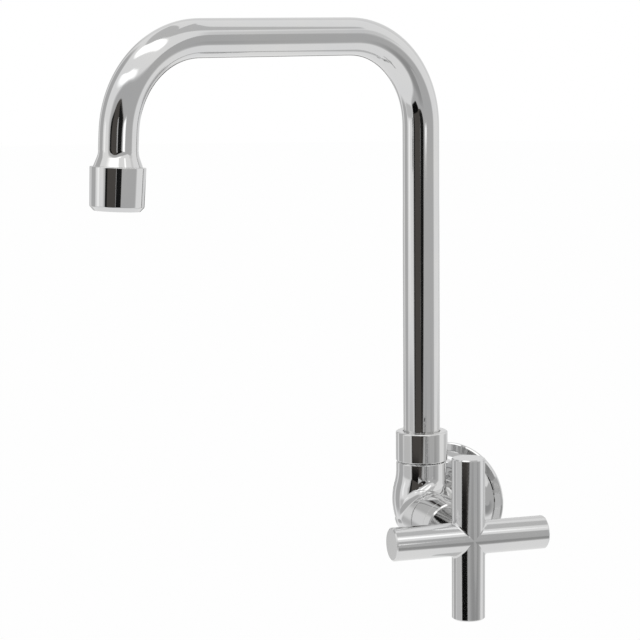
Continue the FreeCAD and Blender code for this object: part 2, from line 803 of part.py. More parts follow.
# Brass spindle: drive bar, sealed bearing, long shaft with a clip groove and a splined end
def make_spindle():
    body = new_body("spindle")
    outline = [("0", "bearing_foot"), ("spindle_bearing_radius", "bearing_foot")]
    for height in ("spindle_seal_height", "(spindle_seal_height + spindle_seal_spacing)"):
        half = "(spindle_seal_section + slide_clearance)"
        outline += [
            ("spindle_bearing_radius", height + " - " + half),
            ("bearing_groove_radius", height + " - " + half),
            ("bearing_groove_radius", height + " + " + half),
            ("spindle_bearing_radius", height + " + " + half),
        ]
    outline += [
        ("spindle_bearing_radius", "spindle_bearing_end"),
        ("spindle_radius", "spindle_bearing_end"),
        ("spindle_radius", "clip_foot - slide_clearance"),
        ("spindle_radius - clip_depth", "clip_foot - slide_clearance"),
        ("spindle_radius - clip_depth", "clip_top + slide_clearance"),
        ("spindle_radius", "clip_top + slide_clearance"),
        ("spindle_radius", "spindle_end - edge_break"),
        ("spindle_radius - edge_break", "spindle_end"),
        ("0", "spindle_end"),
    ]
    revolve(body, "spindle_turn", outline)
    bar = new_sketch(body, "drive_bar", "XY_Plane", lift="bearing_foot", turn="90")
    half = "(drive_slot_width / 2 - slide_clearance)"
    reach = "(disc_radius - edge_break)"
    draw(bar, [("-" + half, "-" + reach), (half, "-" + reach), (half, reach), ("-" + half, reach)])
    pad(body, "drive_bar_pad", bar, "spindle_foot + drive_slot_depth - film_gap", reverse=True)
    groove = new_sketch(body, "spline_groove", "XY_Plane", lift="spline_start")
    draw(groove, [("spindle_radius - spline_depth", "0"),
                  ("spindle_radius + spline_depth", "-spline_depth"),
                  ("spindle_radius + spline_depth", "spline_depth")])
    cut = pad(body, "spline_groove_cut", groove, "spindle_end - spline_start", cut=True, reverse=True)
    repeat_round(body, "splines", cut, "spline_count")
    on_valve(body)
    return body


# Spring clip in the spindle groove, open at one side
def make_spindle_clip():
    body = new_body("spindle_clip")
    washer_outline = [
        ("spindle_radius - clip_depth + slide_clearance", "clip_foot"),
        ("clip_radius", "clip_foot"),
        ("clip_radius", "clip_top"),
        ("spindle_radius - clip_depth + slide_clearance", "clip_top"),
    ]
    revolve(body, "clip_ring", washer_outline)
    mouth = new_sketch(body, "clip_mouth", "XY_Plane", lift="clip_foot")
    half = "clip_opening / 2"
    draw(mouth, [("0", "-" + half), ("2 * clip_radius", "-" + half), ("2 * clip_radius", half),
                 ("0", half)])
    pad(body, "clip_mouth_cut", mouth, "clip_thickness", cut=True, reverse=True)
    on_valve(body)
    return body


# Turned sleeve that screws over the housing and hides its hexagon
def make_bonnet_sleeve():
    outline = [
        ("sleeve_bore", "boss_length + sleeve_gap"),
        ("sleeve_radius", "boss_length + sleeve_gap"),
        ("sleeve_radius", "sleeve_end - sleeve_edge"),
        ("sleeve_radius - sleeve_edge", "sleeve_end"),
        ("sleeve_hole_radius", "sleeve_end"),
        ("sleeve_hole_radius", "sleeve_end - sleeve_lip"),
        ("housing_neck_radius + thread_clearance", "sleeve_end - sleeve_lip"),
        ("housing_neck_radius + thread_clearance", "hex_top + edge_break"),
        ("sleeve_bore", "hex_top + edge_break"),
    ]
    return turned("bonnet_sleeve", outline, on_valve)


# Cross handle: two equal round bars that cross on the valve axis, and a bored stem behind
def make_handle_cross():
    body = new_body("handle_cross")
    stem = [
        ("stem_bore_radius", "stem_start"),
        ("stem_radius", "stem_start"),
        ("stem_radius", "handle_distance"),
        ("0", "handle_distance"),
        ("0", "spindle_end + edge_break"),
        ("spindle_hole", "spindle_end + edge_break"),
        ("spindle_hole", "adapter_end"),
        ("stem_bore_radius", "adapter_end"),
    ]
    revolve(body, "stem", stem)
    for name, role in (("level_bar", "XZ_Plane"), ("upright_bar", "YZ_Plane")):
        bar = new_sketch(body, name + "_section", role)
        draw_circle(bar, "0", "handle_distance", "bar_radius")
        pad(body, name, bar, "bar_length", midplane=True)
    ends = []
    for axis in (FreeCAD.Vector(1, 0, 0), FreeCAD.Vector(0, 1, 0)):
        ends += ring_edges(body, "bar_radius", "bar_length / 2", axis)
        ends += ring_edges(body, "bar_radius", "-bar_length / 2", axis)
    soften(body, "bar_ends", ends, "bar_edge")
    soften(body, "crossing_round", meeting_edges(body), "crossing_blend", "Fillet")
    hole = new_sketch(body, "screw_hole", "YZ_Plane")
    draw_circle(hole, "0", "screw_place", "screw_radius + slide_clearance")
    pad(body, "screw_hole_cut", hole, "stem_radius + edge_break", cut=True, reverse=True)
    on_valve(body)
    return body


# Cup shaped skirt pressed on the stem, it turns with the handle
def make_handle_skirt():
    inner = "(skirt_radius - skirt_wall)"
    outline = [
        ("skirt_hole", "skirt_front - skirt_plate"),
        (inner, "skirt_front - skirt_plate"),
        (inner, "skirt_start"),
        ("skirt_radius", "skirt_start"),
        ("skirt_radius", "skirt_front - skirt_edge"),
        ("skirt_radius - skirt_edge", "skirt_front"),
        ("skirt_hole", "skirt_front"),
    ]
    return turned("handle_skirt", outline, on_valve)


# Grub screw in the underside of the stem, with a hexagon socket
def make_grub_screw():
    body = new_body("grub_screw")
    foot = "(spindle_radius + slide_clearance)"
    outline = [
        ("0", foot),
        ("screw_radius - spline_depth", foot),
        ("screw_radius", foot + " + spline_depth"),
        ("screw_radius", foot + " + screw_length"),
        ("0", foot + " + screw_length"),
    ]
    revolve(body, "screw_turn", outline)
    socket = new_sketch(body, "screw_socket_outline", "XY_Plane", lift=foot + " + screw_length")
    corner = "(screw_socket_across / 2 / cos(30))"
    draw(socket, [("%s * cos(%d)" % (corner, 60 * k), "%s * sin(%d)" % (corner, 60 * k))
                  for k in range(6)])
    pad(body, "screw_socket_cut", socket, "screw_socket_depth", cut=True)
    place(body, x="sin(valve_angle) * screw_place",
          y="-wall_distance - cos(valve_angle) * screw_place", yaw="valve_angle - 90", pitch="180")
    return body


make_wall_escutcheon()
washer("wall_gasket", "flange_radius - gasket_width", "flange_radius - edge_break", "0",
       "gasket_thickness", on_wall)
make_valve_body()
make_spout_nut()
washer("spout_thrust_washer", "socket_radius + thread_clearance",
       "neck_thread_radius - thread_clearance", "neck_thread_top",
       "ring_flange_foot - film_gap", on_riser)
make_spout_ferrule()
seal_ring("lower_spout_o_ring", "seal_ring_radius", "lower_seal_height", "seal_section_radius",
          on_riser)
seal_ring("upper_spout_o_ring", "seal_ring_radius", "lower_seal_height + seal_spacing",
          "seal_section_radius", on_riser)
washer("spout_slip_ring", "tube_radius + thread_clearance", "ring_flange_radius",
       "slip_ring_foot", "slip_ring_top", on_riser)
make_spout_tube()
make_spout_nozzle()
make_aerator_shell()
washer("aerator_washer", "nozzle_bore_radius + edge_break", "insert_radius", "nozzle_end",
       "insert_start", on_tip)
make_aerator_insert()
washer("upper_aerator_screen", "0", "screen_radius", "plate_foot",
       "plate_foot + screen_thickness", on_tip)
washer("lower_aerator_screen", "0", "screen_radius", "rib_crest - screen_thickness",
       "rib_crest", on_tip)
washer("seat_seal", "port_radius + edge_break", "disc_radius", "-seat_depth",
       "fixed_disc_foot", on_valve)
make_disc("fixed_disc", "fixed_disc_foot", False)
make_disc("moving_disc", "moving_disc_foot", True)
make_cartridge_housing()
washer("cartridge_seal", "housing_thread + slide_clearance", "housing_flange_radius",
       "boss_length", "collar_foot", on_valve)
make_spindle()
for name, spacing in (("lower_spindle_o_ring", ""), ("upper_spindle_o_ring", " + spindle_seal_spacing")):
    seal_ring(name, "bearing_seal_radius", "spindle_seal_height" + spacing, "spindle_seal_section",
              on_valve)
washer("spindle_slip_washer", "spindle_hole + slide_clearance", "spindle_bearing_radius",
       "spindle_bearing_end + film_gap", "shoulder_top", on_valve)
make_spindle_clip()
make_bonnet_sleeve()
make_handle_cross()
make_handle_skirt()
washer("spline_adapter", "spindle_hole", "stem_bore_radius - press_clearance", "stem_start",
       "adapter_end", on_valve)
make_grub_screw()

doc.recompute()
for entry in doc.Objects:
    if "Invalid" in entry.State or "Error" in entry.State:
        raise RuntimeError("%s failed: %s" % (entry.Name, entry.State))
    if entry.TypeId == "PartDesign::Body" and (entry.Shape.isNull() or not entry.Shape.isValid()):
        raise RuntimeError("%s has no valid shape" % entry.Label)

os.makedirs("parts", exist_ok=True)
for entry in doc.Objects:
    if entry.TypeId == "PartDesign::Body":
        entry.Shape.exportStep("parts/%s.step" % entry.Label)
        print("%-24s %10.1f mm3, %d solids" % (entry.Label, entry.Shape.Volume,
                                               len(entry.Shape.Solids)))
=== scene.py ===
# %% [markdown]
# # A chrome wall faucet, dressed for its portrait
# The faucet hangs on a kitchen wall: cold water comes through the wall, a cross handle
# opens a quarter turn cartridge, and a bent tube swings over the sink.
# Its solids come from a CAD file and arrive here as a frame.
# This lesson gives them a skin: rounder edges, a real screw thread, woven screens and
# finishes that a camera would believe. Blender counts in metres. The pieces are described
# in millimetres, as in a workshop, and MM turns those into metres.

# %% Load the frame and measure it
import math

import bpy
import numpy as np
from mathutils import Matrix, Vector


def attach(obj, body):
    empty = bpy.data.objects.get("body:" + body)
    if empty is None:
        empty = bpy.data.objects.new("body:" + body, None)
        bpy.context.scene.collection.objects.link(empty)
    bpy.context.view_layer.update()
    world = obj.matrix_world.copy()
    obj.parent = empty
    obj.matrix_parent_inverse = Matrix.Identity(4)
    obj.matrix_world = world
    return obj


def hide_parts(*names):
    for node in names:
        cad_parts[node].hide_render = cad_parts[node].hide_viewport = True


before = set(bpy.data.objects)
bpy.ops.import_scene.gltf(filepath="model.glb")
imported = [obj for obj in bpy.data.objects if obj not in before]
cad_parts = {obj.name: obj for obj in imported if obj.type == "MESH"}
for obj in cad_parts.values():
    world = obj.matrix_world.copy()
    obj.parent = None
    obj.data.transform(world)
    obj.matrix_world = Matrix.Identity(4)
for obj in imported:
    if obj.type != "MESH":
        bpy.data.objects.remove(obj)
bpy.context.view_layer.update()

MM = 0.001
print("nodes in the frame:", len(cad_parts))

# %% [markdown]
# ## The camera
# The photograph was taken from the front right, about as high as the level tube, through
# a long lens, so that the riser stays almost upright. Three angles say where it looks:
# the swing about the vertical, the dip below level, and a half degree of roll that the
# photographer did not notice. A matrix built from three directions says this more
# plainly than a chain of rotations, so the matrix is filled with them one by one.

# %% Place the camera
scene = bpy.context.scene
scene.view_settings.view_transform = "Standard"

swing, dip, roll = (math.radians(angle) for angle in (26.80, 7.51, -0.503))
level_right = Vector((math.cos(swing), math.sin(swing), 0.0))
ahead = Vector((-math.sin(swing) * math.cos(dip), math.cos(swing) * math.cos(dip), -math.sin(dip)))
level_up = level_right.cross(ahead)
picture_right = math.cos(roll) * level_right + math.sin(roll) * level_up
picture_up = math.cos(roll) * level_up - math.sin(roll) * level_right

lens = bpy.data.cameras.new("portrait_camera")
lens.lens = 125.723
lens.sensor_width = 36.0
camera = bpy.data.objects.new("portrait_camera", lens)
camera_place, faucet_middle = Vector((0.4747, -1.09616, 0.25527)), Vector((0.0, -0.1, 0.1))
camera.matrix_world = Matrix.Translation(camera_place) @ Matrix(
    (picture_right, picture_up, -ahead)).transposed().to_4x4()
scene.collection.objects.link(camera)
scene.camera = camera
print("camera stands", round((camera_place - faucet_middle).length, 3), "m away")

# %% [markdown]
# ## Small helpers for shader nodes
# A material in Blender is a little graph that ends in an output. Most lines of such a
# graph do one of three things: make a node, join two sockets, or mix two shaders. A
# short helper for each keeps the recipes readable.

# %% Helpers that make and join shader nodes
def add_node(tree, kind, sockets=None, **settings):
    """Make a node, with values for its sockets by their names and for its own settings."""
    made = tree.nodes.new("ShaderNode" + kind)
    for name, value in settings.items():
        setattr(made, name, value)
    for name, value in (sockets or {}).items():
        made.inputs[name].default_value = value
    return made


def join(tree, source, node, socket):
    """Join a socket, or the first output of a node, to a socket of another node."""
    tree.links.new(getattr(source, "outputs", [source])[0], node.inputs[socket])


def mix_shaders(tree, share, first, second):
    """A mix that is the first shader where share is 0 and the second where it is 1."""
    mix = add_node(tree, "MixShader")
    for socket, source in enumerate((share, first, second)):
        join(tree, source, mix, socket)
    return mix


def tone_ramp(tree, positions, colours):
    """A ramp from the first colour to the second, between two positions."""
    made = add_node(tree, "ValToRGB")
    for stop, position, colour in zip(made.color_ramp.elements, positions, colours):
        stop.position, stop.color = position, (*colour, 1.0)
    return made


def empty_tree(owner):
    owner.use_nodes = True
    owner.node_tree.nodes.clear()
    return owner.node_tree


def new_finish(name):
    """A new material, its graph, and the output that is all there is in it yet."""
    made = bpy.data.materials.new(name)
    tree = empty_tree(made)
    return made, tree, add_node(tree, "OutputMaterial")


graph_helpers = (add_node, join, mix_shaders, tone_ramp, empty_tree, new_finish)
print("helpers for shader graphs:", [helper.__name__ for helper in graph_helpers])

# %% [markdown]
# ## A white room
# Product pictures of chrome are shot in a white tent. The world plays that tent: it is
# white where a camera ray, a mirrored ray or a ray through glass looks at it, and a
# milder white where it only has to light a matt surface. One strength for both would
# either grey the background or wash out every pale plastic part.

# %% Light the room with the world
def seen_directly(tree):
    """1 for rays of the camera, of mirrors and of clear materials, else 0."""
    path = add_node(tree, "LightPath")
    first = add_node(tree, "Math", operation="MAXIMUM")
    both = add_node(tree, "Math", operation="MAXIMUM")
    join(tree, path.outputs["Is Camera Ray"], first, 0)
    join(tree, path.outputs["Is Glossy Ray"], first, 1)
    join(tree, first, both, 0)
    join(tree, path.outputs["Is Transmission Ray"], both, 1)
    return both


room = bpy.data.worlds.new("white_room")
scene.world = room
tree = empty_tree(room)
white = (1.0, 1.0, 1.0, 1.0)
soft_light = add_node(tree, "Background", {"Color": white, "Strength": 0.65})
backdrop = add_node(tree, "Background", {"Color": white, "Strength": 1.0})
world_out = add_node(tree, "OutputWorld")
join(tree, mix_shaders(tree, seen_directly(tree), soft_light, backdrop), world_out, "Surface")
print("world nodes:", len(tree.nodes))

# %% [markdown]
# ## The floor
# The faucet hangs in the air of the studio, as high above a pale floor as it would on a
# kitchen wall. Most of the floor's white glows by itself, which keeps it as white as the
# background; the rest is ordinary matt paint, and on that part the faucet leaves the
# faint shadow that tells the eye where down is.

# %% Lay the floor
floor_height, floor_radius = -1.35, 30.0
bpy.ops.mesh.primitive_circle_add(vertices=96, radius=floor_radius, fill_type="NGON",
                                  location=(faucet_middle.x, faucet_middle.y, floor_height))
floor = bpy.context.object
floor.name = "pale_floor"
paint, tree, floor_out = new_finish("pale_floor_paint")
matt = add_node(tree, "BsdfDiffuse", {"Color": (0.90, 0.90, 0.90, 1.0)})
glow = add_node(tree, "Emission", {"Color": white, "Strength": 1.0})
grain = add_node(tree, "TexNoise", {"Scale": 3.0})
glow_share = add_node(tree, "MapRange", {"To Min": 0.975, "To Max": 0.985})
gate = add_node(tree, "Math", operation="MULTIPLY")
join(tree, grain, glow_share, "Value")
join(tree, glow_share, gate, 0)
join(tree, seen_directly(tree), gate, 1)
join(tree, mix_shaders(tree, gate, matt, glow), floor_out, "Surface")
floor.data.materials.append(paint)
print("floor lies", floor_height, "m below the inlet")

# %% [markdown]
# ## The lamp
# Most of the light on the faucet is the white room itself. One wide soft lamp, high up
# at the left of the camera, gives the rubber and plastic parts a lit side and lays the
# shadow on the floor. Polished chrome would show the lamp as a hard white rectangle, so
# it is hidden from mirrored rays; the cards below are what chrome sees.

# %% Hang the soft lamp
lamp_data = bpy.data.lights.new("soft_lamp", "AREA")
lamp_data.shape = "RECTANGLE"
lamp_data.size, lamp_data.size_y = 1.6, 1.2
lamp_data.energy = 9.0
lamp = bpy.data.objects.new("soft_lamp", lamp_data)
lamp_place, lamp_target = Vector((-0.7, -1.0, 1.5)), Vector((-0.02, -0.1, 0.1))
lamp.matrix_world = Matrix.Translation(lamp_place) @ (
    lamp_target - lamp_place).to_track_quat("-Z", "Y").to_matrix().to_4x4()
lamp.visible_glossy = False
lamp.visible_camera = False
scene.collection.objects.link(lamp)
print("lamp hangs", round((lamp_place - lamp_target).length, 2), "m from the faucet")

# %% [markdown]
# ## What the chrome sees
# Chrome has hardly any colour of its own: a picture of it is a picture of the studio. A
# product photographer therefore hangs cards around the piece, black ones for the dark
# lines that draw the edge of a tube, and white ones for its shine. Each card here is a
# patch with rounded corners and a soft border. It glows only for mirrored rays, so it
# neither lights the floor nor stands in the picture.
#
# A corner of a card is given as the photographer would point at it: so many degrees to
# the right of the camera, so many degrees up, and so many metres away from the riser.

# %% Point at places around the faucet
toward_camera = np.array([math.sin(swing), -math.cos(swing), 0.0])
toward_right = np.array([math.cos(swing), math.sin(swing), 0.0])
card_centre = np.array([-0.01, -0.05, 0.12])


def point_at(bearing, height, distance):
    """A place, from its degrees to the right of the camera and up, and its metres away."""
    turn, climb = math.radians(bearing), math.radians(height)
    level = math.cos(turn) * toward_camera + math.sin(turn) * toward_right
    rise = np.array([0.0, 0.0, math.sin(climb)])
    return card_centre + distance * (math.cos(climb) * level + rise)


print("a metre out, 30 degrees right of the camera and 10 up:", point_at(30, 10, 1.0).round(3))

# %% [markdown]
# ## Meshes from rings
# A card, a tube, a nut and a wire are all rings of points with strips of faces between
# them. One helper numbers those faces, and another turns points and faces into an
# object with a finish.

# %% Helpers that make a mesh object
def add_object(name, points, faces, finish):
    """A smooth mesh in one finish, from points in metres, linked to the scene."""
    mesh = bpy.data.meshes.new(name)
    mesh.from_pydata([tuple(p) for p in points], [], faces)
    mesh.polygons.foreach_set("use_smooth", [True] * len(faces))
    mesh.materials.append(finish)
    made = bpy.data.objects.new(name, mesh)
    scene.collection.objects.link(made)
    return made


def ring_faces(count, around, closed):
    """Quads from each ring of points to the next, and from the last to the first if closed."""
    number = np.arange(count * around).reshape(count, around)
    if closed:
        number = np.vstack([number, number[:1]])
    onward = np.roll(number, -1, 1)
    quads = np.stack([number[:-1], onward[:-1], onward[1:], number[1:]], -1)
    return [tuple(quad) for quad in quads.reshape(-1, 4).tolist()]


print("faces of three rings of four points:", len(ring_faces(3, 4, False)))

# %% [markdown]
# ## One card
# A card is given by its corners. Points are set along its sides and smoothed, which
# rounds it off, and smaller copies of that rim lead to the middle, all at the same
# distance from the faucet. Each point keeps its share of the glow, from none at the rim
# to all of it further in, so the border is as soft as that of a real lamp.

# %% Helper that hangs a card
steps_per_side, rounding_passes = 6, 3


def hang_card(name, corners, strength, distance, soft, tint):
    """soft is the share of the card that its border takes. A step of the ladder says how large
    a ring is beside the rim, and how far the glow has come in there."""
    outline = []
    for k, corner in enumerate(corners):
        after = corners[(k + 1) % len(corners)]
        for j in range(steps_per_side):
            share = j / steps_per_side
            outline.append([corner[i] + (after[i] - corner[i]) * share for i in (0, 1)])
    rim = np.array([point_at(b, h, distance) for b, h in outline])
    for _ in range(rounding_passes):
        rim = 0.5 * rim + 0.25 * np.roll(rim, 1, 0) + 0.25 * np.roll(rim, -1, 0)
    heart = rim.mean(0)
    ladder = [(1.0, 0.0), (1.0 - 0.3 * soft, 0.25), (1.0 - 0.7 * soft, 0.78), (1.0 - soft, 1.0),
              (0.5 - 0.25 * soft, 1.0), (0.0, 1.0)]
    points, fades = [], []
    for share, fade in ladder:
        ring = heart + (rim - heart) * share - card_centre
        ring *= distance / np.linalg.norm(ring, axis=1)[:, None]
        points += list(ring + card_centre)
        fades += [fade] * len(rim)
    paint, tree, out = new_finish(name)
    clear = add_node(tree, "BsdfTransparent")
    glow = add_node(tree, "Emission", {"Color": (*tint, 1.0), "Strength": strength})
    fade_in = add_node(tree, "Attribute", attribute_name="fade")
    join(tree, mix_shaders(tree, fade_in.outputs["Fac"], clear, glow), out, "Surface")
    card = add_object(name, points, ring_faces(len(ladder), len(rim), False), paint)
    card.data.attributes.new("fade", "FLOAT", "POINT").data.foreach_set("value", fades)
    card.visible_camera = card.visible_diffuse = False
    card.visible_shadow = card.visible_transmission = False


print("points along the rim of a card with four corners:", 4 * steps_per_side)

# %% [markdown]
# ## Hanging the cards
# A few greys make the room: a grey ceiling, greys at the left and low down, and a grey
# field behind the camera that a polished cylinder shows as a wide quiet band. Two white
# softboxes overhead draw the long highlights of the level tube and the handle, and two
# small glints, right of the camera and far out at the left, brighten the flanks of what
# stands upright. The dark board around the camera gives each upright tube its dark line,
# and black cards at its edges and its foot make that line crisp. The cards with behind
# in their name stand on the far side: from the front they only darken the last hair of
# each outline, but whoever walks round the faucet sees lines there too.

# %% Hang the cards
# Each card: strength, metres from the middle, softness of the border, tint, corners
warm_dark, neutral = (1.0, 0.92, 0.85), (1.0, 1.0, 1.0)
cards = {
    "ceiling_grey": (0.66, 6.0, 0.12, neutral, [
        (-180, 50), (-140, 60), (-110, 72), (-60, 84), (0, 85), (30, 78), (50, 58), (66, 48),
        (78, 35), (90, 34), (98, 54), (120, 64), (150, 62)]),
    "left_grey": (0.55, 2.6, 0.3, neutral, [
        (-128, -30), (-130, 10), (-138, 44), (-122, 60), (-92, 54), (-90, 20), (-92, -8),
        (-96, -32)]),
    "left_low_grey": (0.68, 2.5, 0.35, neutral, [
        (-98, -8), (-54, -8), (-48, -14), (-48, -28), (-98, -30)]),
    "surround_grey": (0.555, 1.95, 0.28, neutral, [
        (-60, 10), (-54, 31), (-30, 40), (0, 38), (25, 29), (44, 21), (58, 14), (66, 13), (74, 22),
        (84, 17), (89, -5), (89, -29), (68, -38), (40, -40), (10, -38), (-30, -36), (-52, -30),
        (-56, -10)]),
    "under_grey": (0.38, 1.9, 0.6, neutral, [
        (2, -12), (30, -8), (60, -6), (76, -12), (76, -26), (60, -34), (30, -36), (4, -34)]),
    "big_softbox": (1.6, 5.4, 0.16, neutral, [
        (-97, 60), (-100, 70), (-60, 79), (-30, 81), (0, 81), (30, 76), (42, 66), (48, 56),
        (50, 44), (50, 34), (46, 33), (40, 38), (32, 46), (20, 54), (0, 61), (-30, 64),
        (-60, 61)]),
    "strip_softbox": (1.6, 5.2, 0.4, neutral, [
        (-80, 37), (-80, 44), (-60, 49), (-30, 50), (-5, 49), (10, 42), (22, 36), (29, 27),
        (22, 27), (10, 32), (-5, 37), (-30, 37), (-60, 36)]),
    "dark_board": (0.088, 1.8, 0.045, warm_dark, [
        (-43, 8), (-38, 16), (-28, 25), (-18, 27), (-8, 25), (2, 19), (12, 13), (22, 8), (17, 1),
        (14, -6), (10, -11), (5, -14), (-5, -16), (-8, -22), (-12, -27), (-44, -27), (-47, -18),
        (-48, -10), (-47, 0)]),
    "right_black": (0.012, 1.76, 0.25, neutral, [
        (-14, 24), (-8, 24), (4, 18), (22, 8), (17, 0), (14, -7), (9, -12), (3, -15), (-6, -15),
        (-7, -6), (-5, 4), (-6, 14)]),
    "left_black": (0.012, 1.76, 0.3, neutral, [
        (-44, 15), (-49, 0), (-50, -16), (-42, -16), (-40, -2), (-34, 12), (-27, 21), (-34, 21)]),
    "lower_black": (0.004, 1.75, 0.15, neutral, [
        (-46, -13.4), (-40, -13.6), (-12, -13.6), (-6, -16), (-9, -24), (-14, -27), (-42, -27),
        (-45, -22)]),
    "side_glint": (1.6, 1.75, 0.4, neutral, [
        (22, 7), (35, 7), (38.5, 5), (38, -1), (22, -2)]),
    "left_glint": (1.25, 1.9, 0.5, neutral, [
        (-84, 14), (-72, 14), (-72, -9), (-84, -9)]),
    "side_grey": (0.80, 3.2, 0.5, neutral, [
        (64, 13), (68, 32), (84, 38), (93, 30), (93, 12), (80, 12)]),
    "right_low_grey": (0.70, 2.5, 0.35, neutral, [
        (110, -9), (150, -9), (150, -30), (110, -28)]),
    "behind_grey": (0.86, 2.75, 0.2, neutral, [
        (130, -28), (126, 0), (130, 42), (160, 50), (200, 50), (228, 42), (232, 0), (228, -28),
        (180, -30)]),
    "behind_mid": (0.58, 2.3, 0.25, neutral, [
        (202, -28), (201, 0), (202, 34), (218, 34), (222, 0), (220, -28)]),
    "behind_dark": (0.06, 1.9, 0.08, warm_dark, [
        (164, -3), (192, -3), (196, -10), (192, -18), (164, -18), (161, -10)]),
}
for name, (strength, distance, soft, tint, corners) in cards.items():
    hang_card(name, corners, strength, distance, soft, tint)
print("cards:", len(cards))

# %% [markdown]
# ## Chrome plate
# Bright chrome is a few tenths of a micron of chromium over nickel. It is a metal with
# a grey of about two thirds, almost without roughness. What tells one piece from
# another is how it was made before plating: a drawn tube keeps long shallow waves, a
# casting keeps the soft unevenness of the polishing wheel, and a turned part keeps faint
# rings. One recipe takes these as numbers, and a coarse noise breathes on the roughness
# and on the grey, because a wiped surface is never equally clean.
#
# A flat image of scratches would need unwrapped meshes. Noise in object space needs
# nothing, so the CAD pieces can wear it too.

# %% The recipe for chrome
chrome_grey, round_marks = 0.66, (1.0, 1.0, 1.0)
cool_grey = [chrome_grey * part for part in (0.97, 0.975, 0.985)]
warm_grey = [chrome_grey * part for part in (1.015, 1.012, 1.0)]


def chrome_finish(name, stretch, marks_per_metre, wave_depth, smooth, worn):
    """stretch turns round noise into long marks, wave_depth is in millimetres, and the
    roughness breathes between smooth and worn."""
    metal, tree, out = new_finish(name)
    shader = add_node(tree, "BsdfPrincipled", {"Metallic": 1.0})
    place = add_node(tree, "TexCoord")
    scale = add_node(tree, "Mapping", {"Scale": stretch})
    breath = add_node(tree, "TexNoise", {"Scale": 38.0, "Detail": 5.0})
    wiped = add_node(tree, "MapRange", {"From Min": 0.3, "From Max": 0.75,
                                        "To Min": smooth, "To Max": worn})
    tone = tone_ramp(tree, (0.3, 0.7), (cool_grey, warm_grey))
    waves = add_node(tree, "TexNoise", {"Scale": marks_per_metre, "Detail": 1.0})
    relief = add_node(tree, "Bump", {"Strength": 1.0, "Distance": wave_depth * MM})
    join(tree, place.outputs["Object"], scale, "Vector")
    join(tree, place.outputs["Object"], breath, "Vector")
    join(tree, scale, waves, "Vector")
    join(tree, breath, wiped, "Value")
    join(tree, breath, tone, 0)
    join(tree, waves, relief, "Height")
    join(tree, wiped, shader, "Roughness")
    join(tree, tone, shader, "Base Color")
    join(tree, relief, shader, "Normal")
    join(tree, shader, out, "Surface")
    return metal


chrome_tube = chrome_finish("chrome_on_drawn_tube", (1.0, 1.0, 0.25), 55.0, 0.035, 0.045, 0.08)
chrome_casting = chrome_finish("chrome_on_polished_casting", round_marks, 45.0, 0.05, 0.045, 0.085)
chrome_handle = chrome_finish("chrome_on_cast_handle", round_marks, 45.0, 0.05, 0.08, 0.13)
chrome_turned = chrome_finish("chrome_on_turned_brass", round_marks, 120.0, 0.004, 0.03, 0.06)
plated = (chrome_tube, chrome_casting, chrome_handle, chrome_turned)
print("chrome finishes:", [finish.name for finish in plated])

# %% [markdown]
# ## Finishes for what is inside
# Nobody sees the cartridge while the faucet is whole, but a part in a library is taken
# apart. Inside are turned brass, two lapped ceramic discs, nitrile rubber, two kinds of
# moulded acetal and some stainless steel. They share one graph: a cloudy noise varies
# the colour a little, and a finer one the gloss and the height of the surface. The
# numbers of each call are what differs.

# %% The recipe for unplated materials
def plain_finish(name, dark, light, gloss, marks_per_metre, relief_height, stretch=(1, 1, 1),
                 metallic=0.0, specular=0.5, sheen=0.0):
    """dark and light are the colours, gloss the two ends of the roughness, and the relief is
    in millimetres."""
    matter, tree, out = new_finish(name)
    shader = add_node(tree, "BsdfPrincipled", {
        "Metallic": metallic, "Specular IOR Level": specular, "Sheen Weight": sheen})
    place = add_node(tree, "TexCoord")
    scale = add_node(tree, "Mapping", {"Scale": stretch})
    cloud = add_node(tree, "TexNoise", {"Scale": marks_per_metre * 0.2, "Detail": 4.0})
    fine = add_node(tree, "TexNoise", {"Scale": marks_per_metre, "Detail": 2.0})
    colour = tone_ramp(tree, (0.35, 0.65), (dark, light))
    shine = add_node(tree, "MapRange", {"From Min": 0.3, "From Max": 0.7,
                                        "To Min": gloss[0], "To Max": gloss[1]})
    relief = add_node(tree, "Bump", {"Distance": relief_height * MM})
    join(tree, place.outputs["Object"], cloud, "Vector")
    join(tree, place.outputs["Object"], scale, "Vector")
    join(tree, scale, fine, "Vector")
    join(tree, cloud, colour, 0)
    join(tree, fine, shine, "Value")
    join(tree, fine, relief, "Height")
    join(tree, colour, shader, "Base Color")
    join(tree, shine, shader, "Roughness")
    join(tree, relief, shader, "Normal")
    join(tree, shader, out, "Surface")
    return matter


turned_brass = plain_finish("turned_brass", (0.60, 0.43, 0.19), (0.72, 0.54, 0.26),
                            (0.22, 0.38), 900, 0.012, (1, 1, 6), metallic=1.0)
lapped_ceramic = plain_finish("lapped_ceramic", (0.84, 0.83, 0.79), (0.90, 0.89, 0.85),
                              (0.16, 0.30), 1500, 0.003)
black_rubber = plain_finish("black_nitrile_rubber", (0.018, 0.018, 0.019), (0.036, 0.035, 0.034),
                            (0.48, 0.72), 1300, 0.010, specular=0.35, sheen=0.08)
white_acetal = plain_finish("white_acetal", (0.80, 0.80, 0.77), (0.87, 0.87, 0.84),
                            (0.32, 0.46), 700, 0.006)
grey_acetal = plain_finish("grey_moulded_acetal", (0.55, 0.56, 0.57), (0.64, 0.65, 0.66),
                           (0.24, 0.40), 600, 0.008)
stainless = plain_finish("drawn_stainless", (0.50, 0.50, 0.49), (0.62, 0.62, 0.61),
                         (0.20, 0.34), 1600, 0.004, (1, 1, 3), metallic=1.0)
unplated = (turned_brass, lapped_ceramic, black_rubber, white_acetal, grey_acetal, stainless)
print("finishes for the inside:", [finish.name for finish in unplated])

